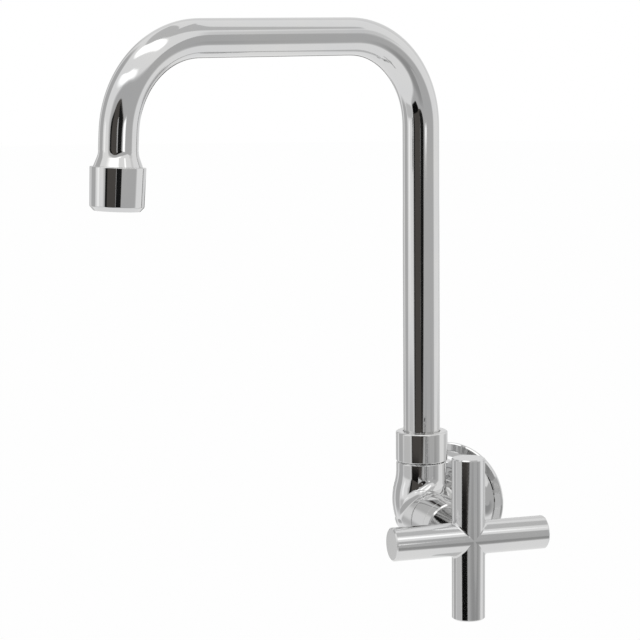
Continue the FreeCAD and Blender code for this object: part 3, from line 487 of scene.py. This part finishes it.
# %% [markdown]
# ## Seats
# The faucet has four straight lines that pieces sit on: the riser, the valve, the wall
# shank and the leaning drop of the spout. A seat is a matrix whose own Z runs along that
# line, so a turned piece can be described by nothing but radii and heights. The numbers
# are those of the CAD model, in millimetres.

# %% The four seats
wall_distance = 39.0
valve_angle, spout_turn, tip_lean = (math.radians(a) for a in (45.0, 26.4, 3.4))
spout_height, spout_reach, bend_radius = 249.7, 182.6, 45.7


def seat(place, yaw, pitch):
    """A seat at a place, its Z tipped over by the pitch and then swung by the yaw."""
    turn = Matrix.Rotation(yaw, 4, "Z") @ Matrix.Rotation(pitch, 4, "Y")
    return np.array(Matrix.Translation(place) @ turn)


quarter = math.pi / 2
tip_out = spout_reach - bend_radius + bend_radius * math.cos(tip_lean)
tip_height = spout_height - bend_radius + bend_radius * math.sin(tip_lean)
on_riser = seat((0, -wall_distance, 0), -quarter - spout_turn, 0)
on_valve = seat((0, -wall_distance, 0), valve_angle - quarter, quarter)
on_shank = seat((0, -wall_distance, 0), quarter, quarter)
on_tip = seat((-math.sin(spout_turn) * tip_out,
               -wall_distance - math.cos(spout_turn) * tip_out, tip_height),
              -quarter - spout_turn, math.pi - tip_lean)
print("valve points to", on_valve[:3, 2].round(3), "and the drop to", on_tip[:3, 2].round(3))

# %% [markdown]
# ## A skin of rings
# Chrome forgives nothing: a normal that is one degree wrong bends the reflection of a
# whole card. Blender's smooth shading averages the normals of neighbouring faces, which
# is fine for clay and wrong beside a flat rim. So each piece here is a stack of rings
# with a strip of faces between one ring and the next, and each strip brings the exact
# normals at both of its borders. Where two strips bring different normals at the same
# ring, there is a crisp edge; where they agree, the surface runs on.

# %% Helper that turns rings into a piece
def skin(name, rings, strips, seat_matrix, body, slot_name, finish, nodes):
    """rings: (count, around, 3) in millimetres; strips: the two sets of normals of each strip.
    The last ring joins the first, so the skin is closed."""
    rings = np.asarray(rings, float)
    count, around, _ = rings.shape
    faces = ring_faces(count, around, True)
    looks = [np.stack([first, np.roll(first, -1, 0), np.roll(second, -1, 0), second], 1)
             for first, second in strips]
    points = rings.reshape(-1, 3) @ seat_matrix[:3, :3].T + seat_matrix[:3, 3]
    looks = np.concatenate(looks) @ seat_matrix[:3, :3].T
    corners = points[np.asarray(faces)]
    facing = np.cross(corners[:, 2] - corners[:, 0], corners[:, 3] - corners[:, 1])
    if (facing * looks.sum(1)).sum() < 0:
        faces = [face[::-1] for face in faces]
        looks = looks[:, ::-1]
    piece = add_object(name, points * MM, faces, finish)
    piece.data.normals_split_custom_set([tuple(n) for n in looks.reshape(-1, 3)])
    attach(piece, body)
    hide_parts(*nodes)
    print(name, "has", len(faces), "faces")


print("helper for closed skins:", skin.__name__)

# %% [markdown]
# ## Turned pieces
# A lathe cuts an outline around an axis. The outline is a list of corners, each with the
# radius that the tool or the polishing wheel left on it. A corner with a radius becomes a
# small arc with its own normals, and that arc is what catches the bright thin line along
# every edge of real chrome.

# %% Round the corners of an outline
arc_steps = 6


def rounded(corners):
    """Corners (radius, height, rounding) of a closed outline, to points with two normals each:
    that of the wall before the point and that of the wall after it."""
    places = np.array([c[:2] for c in corners], float)
    total = len(corners)
    radii, levels = places.T
    area = (radii * np.roll(levels, -1) - np.roll(radii, -1) * levels).sum()
    side = 1.0 if area > 0 else -1.0
    outline = []
    for i, corner in enumerate(places):
        come, leave = corner - places[i - 1], places[(i + 1) % total] - corner
        come, leave = come / np.linalg.norm(come), leave / np.linalg.norm(leave)
        before, after = (side * np.array([d[1], -d[0]]) for d in (come, leave))
        rounding = corners[i][2]
        if rounding == 0:
            outline.append((corner, before, after))
            continue
        turn = math.acos(max(-1.0, min(1.0, float(come @ leave))))
        reach = rounding * math.tan(turn / 2)
        hollow = 1.0 if side * (come[0] * leave[1] - come[1] * leave[0]) > 0 else -1.0
        heart = corner - come * reach - before * rounding * hollow
        for k in range(arc_steps + 1):
            look = (before * math.sin(turn * (1 - k / arc_steps))
                    + after * math.sin(turn * k / arc_steps))
            look = look / np.linalg.norm(look)
            outline.append((heart + look * rounding * hollow, look, look))
    return outline


print("points of a square with round corners:",
      len(rounded([(8, 0, 1), (10, 0, 1), (10, 2, 1), (8, 2, 1)])))

# %% [markdown]
# ## Around the axis
# The outline then goes around the seat's own Z in even steps, enough to keep the rim of
# the nut round in a picture taken close up. The reflections don't show the steps at all,
# because each ring brings its exact normals.

# %% Turn an outline around its axis
lathe_steps = 144


def turned(name, corners, seat_matrix, body, slot_name, finish, nodes):
    """A piece whose closed outline goes all the way round the Z of its seat."""
    outline = rounded(corners)
    spin = np.arange(lathe_steps) * 2 * math.pi / lathe_steps
    across = np.stack([np.cos(spin), np.sin(spin), np.zeros(lathe_steps)], 1)
    along = np.array([0.0, 0.0, 1.0])

    def ring(pair):
        return across * pair[0] + along * pair[1]

    rings = [ring(place) for place, _, _ in outline]
    strips = [(ring(outline[i][2]), ring(outline[(i + 1) % len(outline)][1]))
              for i in range(len(outline))]
    skin(name, rings, strips, seat_matrix, body, slot_name, finish, nodes)


print("one step on the lathe is", 360 / lathe_steps, "degrees")

# %% [markdown]
# ## Nut, cap and sleeve
# The collar nut holds the spout down, the aerator cap closes its mouth, and the bonnet
# sleeve hides the brass cartridge. All three are turned from bar, so their walls are
# straight and their edges are broken by hand: wider at the top of the nut, where a
# cloth would catch, and narrow where two pieces meet and a gap must not show.

# %% Turn the nut, the cap and the sleeve
turned("collar_nut", [(11.1, 28.0, 0), (13.5, 28.0, 0.55), (13.5, 43.7, 1.0), (9.8, 43.7, 0.3),
                      (9.8, 42.26, 0), (11.1, 42.26, 0)],
       on_riser, "spout", "chrome", chrome_turned, ["spout_nut"])
turned("aerator_cap", [(11.1, 16.33, 0), (13.35, 16.33, 0.5), (12.9, 35.05, 0.8),
                       (11.0, 37.13, 0.7), (9.8, 37.13, 0.25), (9.8, 35.63, 0), (11.1, 35.63, 0)],
       on_tip, "spout", "chrome", chrome_turned, ["aerator_shell"])
turned("bonnet_tube", [(11.9, 19.64, 0), (13.2, 19.64, 0.12), (13.2, 36.6, 0.7), (6.4, 36.6, 0.3),
                       (6.4, 34.6, 0), (11.9, 34.6, 0)],
       on_valve, "body", "chrome", chrome_turned, ["bonnet_sleeve"])

# %% [markdown]
# ## The spout tube
# The spout is one brass tube, drawn to 19 mm and bent twice on a machine. A bend drawn
# as a circle that meets a straight line looks right as a drawing, but its curvature
# jumps, and in chrome every reflection breaks at that point. A real bend begins softly,
# because the tube slips a little in the bender. Here the curvature is spread over some
# millimetres at each end of a bend and then added up along the tube, first to a heading
# and then to a place. The ends of the tube hardly move by it.

# %% Bend the spout tube
tube_radius, tube_bore, tube_foot, tip_straight = 9.5, 8.5, 41.3, 8.8
bend_softness, walk = 6.0, 0.25
runs = [(spout_height - bend_radius - tube_foot, 0.0),
        (bend_radius * quarter, 1 / bend_radius),
        (spout_reach - 2 * bend_radius, 0.0),
        (bend_radius * (quarter - tip_lean), 1 / bend_radius),
        (tip_straight, 0.0)]
tube_length = sum(length for length, _ in runs)
stations = np.arange(0, tube_length + walk / 2, walk)
curvature = np.zeros(len(stations))
start = 0.0
for length, bend in runs:
    curvature[(stations >= start) & (stations < start + length)] = bend
    start += length
window = np.hanning(int(2 * bend_softness / walk) + 1)
curvature = np.convolve(curvature, window / window.sum(), "same")
turns = (curvature[1:] + curvature[:-1]) / 2 * walk
heading = quarter - np.concatenate([[0], np.cumsum(turns)])
middle_heading = (heading[1:] + heading[:-1]) / 2
outward = np.concatenate([[0], np.cumsum(np.cos(middle_heading) * walk)])
upward = tube_foot + np.concatenate([[0], np.cumsum(np.sin(middle_heading) * walk)])
print("tube length", round(tube_length, 1), "mm, its end leans",
      round(90 + math.degrees(heading[-1]), 2), "degrees")

# %% [markdown]
# ## The tube's skin
# The middle line is known at every quarter of a millimetre, which is more than a mesh
# needs, so some of its places are picked: often in the bends and seldom on the straight
# runs. The tube is hollow like the real one. Its skin runs along the outside, over the
# cut end and back through the bore.

# %% Skin the spout tube
bend_step, straight_step, nearly_straight = 1.5, 6.0, 1e-4
picks, travelled = [0], 0.0
for k in range(1, len(stations)):
    travelled += walk
    longest = bend_step if curvature[k] > nearly_straight else straight_step
    if travelled >= longest or k == len(stations) - 1:
        picks.append(k)
        travelled = 0.0
around = 96
spin = np.arange(around) * 2 * math.pi / around
middles, radials, aheads = [], [], []
for k in picks:
    side = np.array([math.sin(heading[k]), 0.0, -math.cos(heading[k])])
    radial = np.cos(spin)[:, None] * side + np.sin(spin)[:, None] * np.array([0.0, 1.0, 0.0])
    middles.append(np.array([outward[k], 0.0, upward[k]]))
    radials.append(radial)
    aheads.append(np.tile([math.cos(heading[k]), 0.0, math.sin(heading[k])], (around, 1)))
walls = [middle + radial * tube_radius for middle, radial in zip(middles, radials)]
walls += [middle + radial * tube_bore for middle, radial in zip(middles[::-1], radials[::-1])]
last = len(picks) - 1
strips = [(radials[i], radials[i + 1]) for i in range(last)] + [(aheads[-1], aheads[-1])]
strips += [(-radials[i], -radials[i - 1]) for i in range(last, 0, -1)] + [(-aheads[0], -aheads[0])]
skin("bent_spout_tube", walls, strips, on_riser, "spout", "chrome", chrome_tube, ["spout_tube"])

# %% [markdown]
# ## Woven screens
# The aerator holds two discs of woven stainless wire, which break the jet and mix air
# into it. Cloth of wire is over and under, over and under: each wire is a gentle wave
# whose crests lie over the troughs of the wires that cross it. A flat disc with a
# picture of a grid would look right only from far away.

# %% Helper that draws a wire
wire_thickness, wire_sides = 0.2, 6


def wire(path):
    """Points and faces of a closed round wire along a path of places."""
    path = np.asarray(path, float)
    ahead_dir = np.gradient(path, axis=0)
    ahead_dir /= np.linalg.norm(ahead_dir, axis=1)[:, None]
    across = np.cross(ahead_dir, np.array([0.0, 0.0, 1.0]))
    across /= np.linalg.norm(across, axis=1)[:, None]
    over = np.cross(across, ahead_dir)
    spin = np.arange(wire_sides) * 2 * math.pi / wire_sides
    rings = path[:, None] + wire_thickness / 2 * (np.cos(spin)[None, :, None] * across[:, None]
                                                  + np.sin(spin)[None, :, None] * over[:, None])
    last = (len(path) - 1) * wire_sides
    ends = [tuple(range(wire_sides))[::-1], tuple(range(last, last + wire_sides))]
    return rings.reshape(-1, 3), ring_faces(len(path), wire_sides, False) + ends


print("faces of a wire with three points:", len(wire([[0, 0, 0], [1, 0, 0], [2, 0, 0]])[1]))

# %% [markdown]
# ## The weave
# The wires are cut by the round rim, so their lengths follow the circle, and a last
# wire goes round as a hem. Neighbours swing opposite ways, and so do the two directions,
# which is all that weaving is.

# %% Weave the two screens
screen_radius, screen_middle, mesh_pitch = 9.78, 0.2, 0.86
wave_rise, cut_inset, rim_inset, points_per_pitch = 0.1, 0.25, 0.14, 4
rim_points, fewest_points, shortest_half = 73, 8, 1.0


def weave(name, height, node):
    """Wires across and along, one over the other by turns, and a wire around them."""
    points, faces = [], []

    def lay(path):
        more, rounds = wire(path)
        base = len(points)
        points.extend(more)
        faces.extend(tuple(base + v for v in face) for face in rounds)

    lines = int(screen_radius / mesh_pitch)
    for k in range(-lines, lines + 1):
        aside = k * mesh_pitch
        half = math.sqrt(max((screen_radius - cut_inset) ** 2 - aside ** 2, 0))
        if half < shortest_half:
            continue
        steps = max(fewest_points, int(half * 2 / mesh_pitch * points_per_pitch))
        along = np.linspace(-half, half, steps)
        wave = wave_rise * np.cos(math.pi * along / mesh_pitch) * (-1) ** k
        lay(np.stack([along, np.full_like(along, aside), height + screen_middle + wave], 1))
        lay(np.stack([np.full_like(along, aside), along, height + screen_middle - wave], 1))
    turn = np.linspace(0, 2 * math.pi, rim_points)
    rim = screen_radius - rim_inset
    lay(np.stack([rim * np.cos(turn), rim * np.sin(turn),
                  np.full_like(turn, height + screen_middle)], 1))
    places = (np.array(points) @ on_tip[:3, :3].T + on_tip[:3, 3]) * MM
    piece = add_object(name, places, faces, stainless)
    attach(piece, "spout")
    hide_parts(node)
    print(name, "has", len(faces), "faces")


weave("upper_woven_screen", 26.8, "upper_aerator_screen")
weave("lower_woven_screen", 33.23, "lower_aerator_screen")

# %% [markdown]
# ## The cast body as a field
# The valve body is cast brass: a round neck, a belly, a boss for the valve and a branch
# to the wall, all melted into each other with soft fillets and then polished. The seams
# between such forms are the hardest place for meshes, and a polished seam shows every
# fault. So the casting is described as a field instead: a number at each place that says
# how far the surface is, and on which side. Each form below gives this distance and the
# direction in which it grows.

# %% Forms that give distance and direction
tiny, tinier = 1e-9, 1e-12  # these keep each division away from zero


def bar_field(places, origin, axis, radius, low, high, edge):
    """A round bar with rounded edges, between two heights on its axis."""
    from_origin = places - origin
    height = from_origin @ axis
    aside = from_origin - height[:, None] * axis
    reach = np.linalg.norm(aside, axis=1) + tiny
    over_side = reach - (radius - edge)
    over_end = np.abs(height - (low + high) / 2) - ((high - low) / 2 - edge)
    past_side, past_end = np.maximum(over_side, 0), np.maximum(over_end, 0)
    outside = np.hypot(past_side, past_end)
    distance = outside + np.minimum(np.maximum(over_side, over_end), 0) - edge
    side_part = np.where(outside > 0, past_side / (outside + tiny), over_side > over_end)
    end_part = np.where(outside > 0, past_end / (outside + tiny), over_side <= over_end)
    sense = np.sign(height - (low + high) / 2)
    slope = (aside / reach[:, None]) * side_part[:, None] + axis * (end_part * sense)[:, None]
    return distance, slope


def egg_field(places, centre, halves):
    """An ellipsoid; the distance is exact enough near its surface."""
    scaled = (places - centre) / halves
    steep = (places - centre) / halves ** 2
    size, rate = np.linalg.norm(scaled, axis=1) + tiny, np.linalg.norm(steep, axis=1) + tiny
    return size * (size - 1) / rate, steep / rate[:, None]


sample = bar_field(np.array([[12.0, 0.0, 5.0]]), np.zeros(3), np.array([0.0, 0.0, 1.0]),
                   10.0, 0.0, 20.0, 0.5)
print("a place 2 mm beside a bar is", round(float(sample[0][0]), 3), "mm away from it")

# %% [markdown]
# ## Melting and drilling
# Two fields join with a round fillet by one formula, however oddly the forms meet. Where
# their surfaces run nearly parallel there is nothing to fill, so the fillet shrinks with
# the angle between their directions; without that, the body would swell there. A bore
# is a bar turned inside out.

# %% Helpers that melt and drill
widest_opening = 1.25


def melt(first, second, fillet):
    """Union of two fields with a round fillet."""
    (a, slope_a), (b, slope_b) = first, second
    opening = np.clip(1 - (slope_a * slope_b).sum(1), 0, widest_opening)
    k = fillet * opening
    near_a, near_b = np.maximum(k - a, 0), np.maximum(k - b, 0)
    both = np.sqrt(near_a ** 2 + near_b ** 2)
    distance = np.maximum(k, np.minimum(a, b)) - both
    free = both < tiny
    share_a = np.where(free, (a < b) * 1.0, near_a / (both + tinier))
    share_b = np.where(free, (a >= b) * 1.0, near_b / (both + tinier))
    slope = slope_a * share_a[:, None] + slope_b * share_b[:, None]
    return distance, slope / (np.linalg.norm(slope, axis=1)[:, None] + tiny)


def drill(solid, bore):
    """What is left of a field when a bar is taken out of it."""
    (a, slope_a), (b, slope_b) = solid, bore
    cut = -b > a
    return np.where(cut, -b, a), np.where(cut[:, None], -slope_b, slope_a)


floor_field, wall_field = [(np.ones(1), np.array([way])) for way in ((0, 0, 1.0), (0, 1.0, 0))]
print("a place 1 mm off both faces of a corner is", round(
    float(melt(floor_field, wall_field, 4.0)[0][0]), 3), "mm away once a 4 mm fillet fills it")

# %% [markdown]
# ## The forms of the casting
# The neck stands by the riser's axis. It leans a little away from the valve and the wall,
# and the belly leans more, as a casting does at the outside of a turn. The boss and the
# branch leave it at 135 degrees to each other. Inside are the real ways of the water:
# the socket and way of the riser, the chamber of the valve and the bore of the inlet.

# %% Describe the casting
riser_foot = np.array([0.0, -wall_distance, 0.0])
up_axis, wall_axis = np.array([0.0, 0.0, 1.0]), np.array([0.0, 1.0, 0.0])
valve_axis = on_valve[:3, 2]
lean_away = math.radians(202.5)
lean = np.array([math.cos(lean_away), math.sin(lean_away), 0.0])
neck_foot = riser_foot + 0.3 * lean
belly_centre = riser_foot + 1.6 * lean + 7.2 * up_axis
belly_halves, belly_fillet = np.array([13.9, 13.9, 22.0]), 16.0
neck = (up_axis, 13.05, -2.0, 27.4, 0.5)

# Each limb: axis, radius, where it begins and ends along the axis, rounding of its edge,
# and the fillet where it melts into the rest
limbs = (
    (valve_axis, 13.5, 0.0, 19.6, 0.2, 6.5),  # boss
    (wall_axis, 12.2, 0.0, 38.0, 0.6, 5.5),   # branch
    (up_axis, 11.0, 10.0, 38.0, 0.3, 0.4),    # spigot inside the collar nut
)

# Each way of the water: axis, radius, and where it begins and ends along the axis
water_ways = (
    (up_axis, 8.5, 21.5, 60.0),      # socket for the plug of the spout
    (up_axis, 5.8, 7.0, 30.0),       # way up to the socket
    (valve_axis, 4.2, -1.0, 5.0),    # port under the fixed disc
    (valve_axis, 9.4, -4.0, 9.5),    # chamber of the discs
    (valve_axis, 10.35, 9.0, 30.0),  # thread of the cartridge housing
    (wall_axis, 5.5, 15.0, 60.0),    # bore of the inlet
    (wall_axis, 4.2, 3.0, 16.0),     # passage to the chamber
)


def casting(places):
    """Distance and slope of the whole casting at each place."""
    solid = melt(bar_field(places, neck_foot, *neck),
                 egg_field(places, belly_centre, belly_halves), belly_fillet)
    for axis, radius, low, high, edge, fillet in limbs:
        limb = bar_field(places, riser_foot, axis, radius, low, high, edge)
        solid = melt(solid, limb, fillet)
    for axis, radius, low, high in water_ways:
        solid = drill(solid, bar_field(places, riser_foot, axis, radius, low, high, 0.0))
    return solid


print("limbs:", len(limbs), "ways of the water:", len(water_ways),
      "belly centre:", belly_centre.round(2))

# %% [markdown]
# ## From field to mesh
# A grid of half a millimetre is laid around the casting, and each cell that the surface
# crosses gets one point, at the middle of its crossings. Marching cubes would give
# triangles of all sizes; this way, called surface nets, gives even quads that suit a
# soft form.

# %% Put a point in each crossed cell
cell = 0.5
low_corner, high_corner = np.array([-18.5, -64.5, -18.0]), np.array([26.5, 0.6, 39.4])
counts = np.ceil((high_corner - low_corner) / cell).astype(int) + 1
axes = [low_corner[i] + cell * np.arange(counts[i]) for i in range(3)]
grid = np.stack(np.meshgrid(*axes, indexing="ij"), -1)
field = casting(grid.reshape(-1, 3))[0].reshape(counts)
inside = field < 0
cells = counts - 1
sums, hits = np.zeros((*cells, 3)), np.zeros(cells)
for axis in range(3):
    near, far = [slice(None)] * 3, [slice(None)] * 3
    near[axis], far[axis] = slice(0, -1), slice(1, None)
    at_near, at_far = field[tuple(near)], field[tuple(far)]
    crossed = (at_near < 0) != (at_far < 0)
    share = np.where(crossed, at_near / np.where(crossed, at_near - at_far, 1), 0)
    place = grid[tuple(near)].copy()
    place[..., axis] += share * cell
    others = [i for i in range(3) if i != axis]
    for da in (0, 1):
        for db in (0, 1):
            cut = [slice(None)] * 3
            cut[others[0]] = slice(da, da + cells[others[0]])
            cut[others[1]] = slice(db, db + cells[others[1]])
            sums += place[tuple(cut)] * crossed[tuple(cut)][..., None]
            hits += crossed[tuple(cut)]
lively = hits > 0
number = np.full(cells, -1)
number[lively] = np.arange(lively.sum())
net = sums[lively] / hits[lively][:, None]
print("cells that the surface crosses:", len(net))

# %% [markdown]
# ## Faces between the cells
# Where the field changes its sign along an edge of the grid, the four cells around that
# edge each have a point, and these four make a face. The order in which they are taken
# decides which side of the face is outside, so it is turned round by whether the edge
# starts in brass or ends there. The middle axis counts the other way round.

# %% Join the four cells around each crossed edge
quads = []
for axis in range(3):
    others = [i for i in range(3) if i != axis]
    edge = np.argwhere(np.diff(inside.astype(np.int8), axis=axis) != 0)
    edge = edge[(edge[:, others[0]] > 0) & (edge[:, others[1]] > 0)
                & (edge[:, others[0]] < cells[others[0]]) & (edge[:, others[1]] < cells[others[1]])]
    ring_of_cells = []
    for da, db in ((1, 1), (0, 1), (0, 0), (1, 0)):
        at = edge.copy()
        at[:, others[0]] -= da
        at[:, others[1]] -= db
        ring_of_cells.append(number[at[:, 0], at[:, 1], at[:, 2]])
    quad = np.stack(ring_of_cells, 1)
    starts_inside = inside[edge[:, 0], edge[:, 1], edge[:, 2]]
    flip = starts_inside if axis == 1 else ~starts_inside
    quad[flip] = quad[flip][:, ::-1]
    quads.append(quad)
quads = np.concatenate(quads)
print("faces of the net:", len(quads))

# %% [markdown]
# ## Down to the surface
# The middle of some crossings is near the surface, but not on it. Each point is moved
# along the slope of the field, as far as the field says, and a few times over, because
# the slope turns on the way. Polished metal shows its normals more than its points, so
# the normals are measured too: the field is read a hair away from each point in six
# directions, and the differences say where the surface looks.

# %% Settle the points and skin the casting
settle_passes, longest_move, probe = 4, 0.2, 0.02
for _ in range(settle_passes):
    distance, slope = casting(net)
    net = net - np.clip(distance, -longest_move, longest_move)[:, None] * slope
furthest = float(np.abs(casting(net)[0]).max())
print("net of", len(net), "points, furthest from the surface by", round(furthest, 4), "mm")
looks = np.stack([casting(net + probe * step)[0] - casting(net - probe * step)[0]
                  for step in np.eye(3)], 1)
looks /= np.linalg.norm(looks, axis=1)[:, None] + tinier
cast_body = add_object("cast_valve_body", net * MM,
                       [tuple(quad) for quad in quads.tolist()], chrome_casting)
cast_body.data.normals_split_custom_set_from_vertices([tuple(n) for n in looks])
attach(cast_body, "body")
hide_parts("valve_body")
print("cast_valve_body has", len(quads), "faces")

# %% [markdown]
# ## The inlet thread
# Behind the wall plate the casting ends in a half inch pipe thread, 14 turns to the
# inch, which screws into the elbow in the wall. A thread is one outline pulled along a
# screw line, but it need not be built that way: on a round shank the radius is simply a
# wave that runs along the shank and shifts by one pitch per turn. The wave has flat,
# slightly rounded crests, it starts under a chamfer, and it runs out before the branch.

# %% Describe the thread
thread_radius, thread_pitch, inlet_bore, bore_edge = 10.4775, 25.4 / 14, 5.5, 0.4
thread_depth = 0.64 * thread_pitch
below_root = thread_depth * 1.05
shank_start, shank_end, chamfer = 38.0, 55.0, 1.2
run_out_start, run_out_length = 0.4, 1.2
crest_level, flank_slope, flank_softness = 1.18, 2.75, 0.35


def shank_radius(turn, height):
    """How far out the thread's surface is, at an angle around the shank and a height."""
    phase = (height / thread_pitch - turn / (2 * math.pi)) % 1.0
    wedge = np.clip(crest_level - flank_slope * np.abs(phase - 0.5), 0, 1)
    eased = wedge * wedge * (3 - 2 * wedge)
    crest = eased * flank_softness + wedge * (1 - flank_softness)
    run_out = np.clip((height - shank_start - run_out_start) / run_out_length, 0, 1)
    full = thread_radius - thread_depth * (1 - crest) * run_out
    start = thread_radius - below_root + (shank_end - height) * thread_depth / chamfer
    return np.minimum(full, np.maximum(start, thread_radius - below_root))


print("thread pitch", round(thread_pitch, 3), "mm, depth", round(thread_depth, 3), "mm")

# %% [markdown]
# ## The shank's skin
# The radius is read on a grid of angles and heights. How fast it changes around the
# shank and along it, measured over a hair to each side, gives the exact normals. The
# skin then turns in over the end and goes back through the bore.

# %% Skin the shank
around, ring_count = 120, 170
spin = np.arange(around) * 2 * math.pi / around
heights = np.linspace(shank_start, shank_end, ring_count)
spin_grid, height_grid = np.meshgrid(spin, heights)
radius_grid = shank_radius(spin_grid, height_grid)
hair = 1e-3
per_turn = (shank_radius(spin_grid + hair, height_grid)
            - shank_radius(spin_grid - hair, height_grid)) / (2 * hair)
per_mm = (shank_radius(spin_grid, height_grid + hair)
          - shank_radius(spin_grid, height_grid - hair)) / (2 * hair)
outwards = np.stack([np.cos(spin_grid), np.sin(spin_grid), 0 * spin_grid], -1)
onwards = np.stack([-np.sin(spin_grid), np.cos(spin_grid), 0 * spin_grid], -1)
walls = outwards * radius_grid[..., None] + height_grid[..., None] * up_axis
looks = outwards - onwards * (per_turn / radius_grid)[..., None] - per_mm[..., None] * up_axis
looks /= np.linalg.norm(looks, axis=-1)[..., None]
level = np.tile(up_axis, (around, 1))
rings = list(walls) + [outwards[0] * (inlet_bore + bore_edge) + up_axis * shank_end,
                       outwards[0] * inlet_bore + up_axis * (shank_end - bore_edge),
                       outwards[0] * inlet_bore + up_axis * shank_start]
slant = (level - outwards[0]) / math.sqrt(2)
strips = [(looks[i], looks[i + 1]) for i in range(len(walls) - 1)]
strips += [(level, level), (slant, slant), (-outwards[0], -outwards[0]), (-level, -level)]
skin("threaded_inlet_shank", rings, strips, on_shank, "body", "chrome", chrome_turned,
     ["valve_body"])

# %% [markdown]
# ## Who wears what
# The pieces that were not made anew above keep the shape of the CAD model, and each gets
# a finish here. The list is written by finish, as a plater would sort the trays.

# %% Give the CAD pieces their finishes
trays = {
    chrome_casting: ["wall_escutcheon"],
    chrome_handle: ["handle_cross"],
    chrome_turned: ["spout_nozzle", "handle_skirt"],
    turned_brass: ["cartridge_housing", "spindle", "spout_ferrule"],
    lapped_ceramic: ["fixed_disc", "moving_disc"],
    black_rubber: ["cartridge_seal", "seat_seal", "lower_spindle_o_ring",
                   "upper_spindle_o_ring", "lower_spout_o_ring", "upper_spout_o_ring",
                   "wall_gasket", "aerator_washer"],
    white_acetal: ["spindle_slip_washer", "spout_slip_ring", "spout_thrust_washer",
                   "spline_adapter"],
    grey_acetal: ["aerator_insert"],
    stainless: ["spindle_clip", "grub_screw"],
}
for finish, nodes in trays.items():
    for node in nodes:
        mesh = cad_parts[node].data
        mesh.materials.clear()
        mesh.materials.append(finish)
print("pieces with a finish:", sum(len(nodes) for nodes in trays.values()))
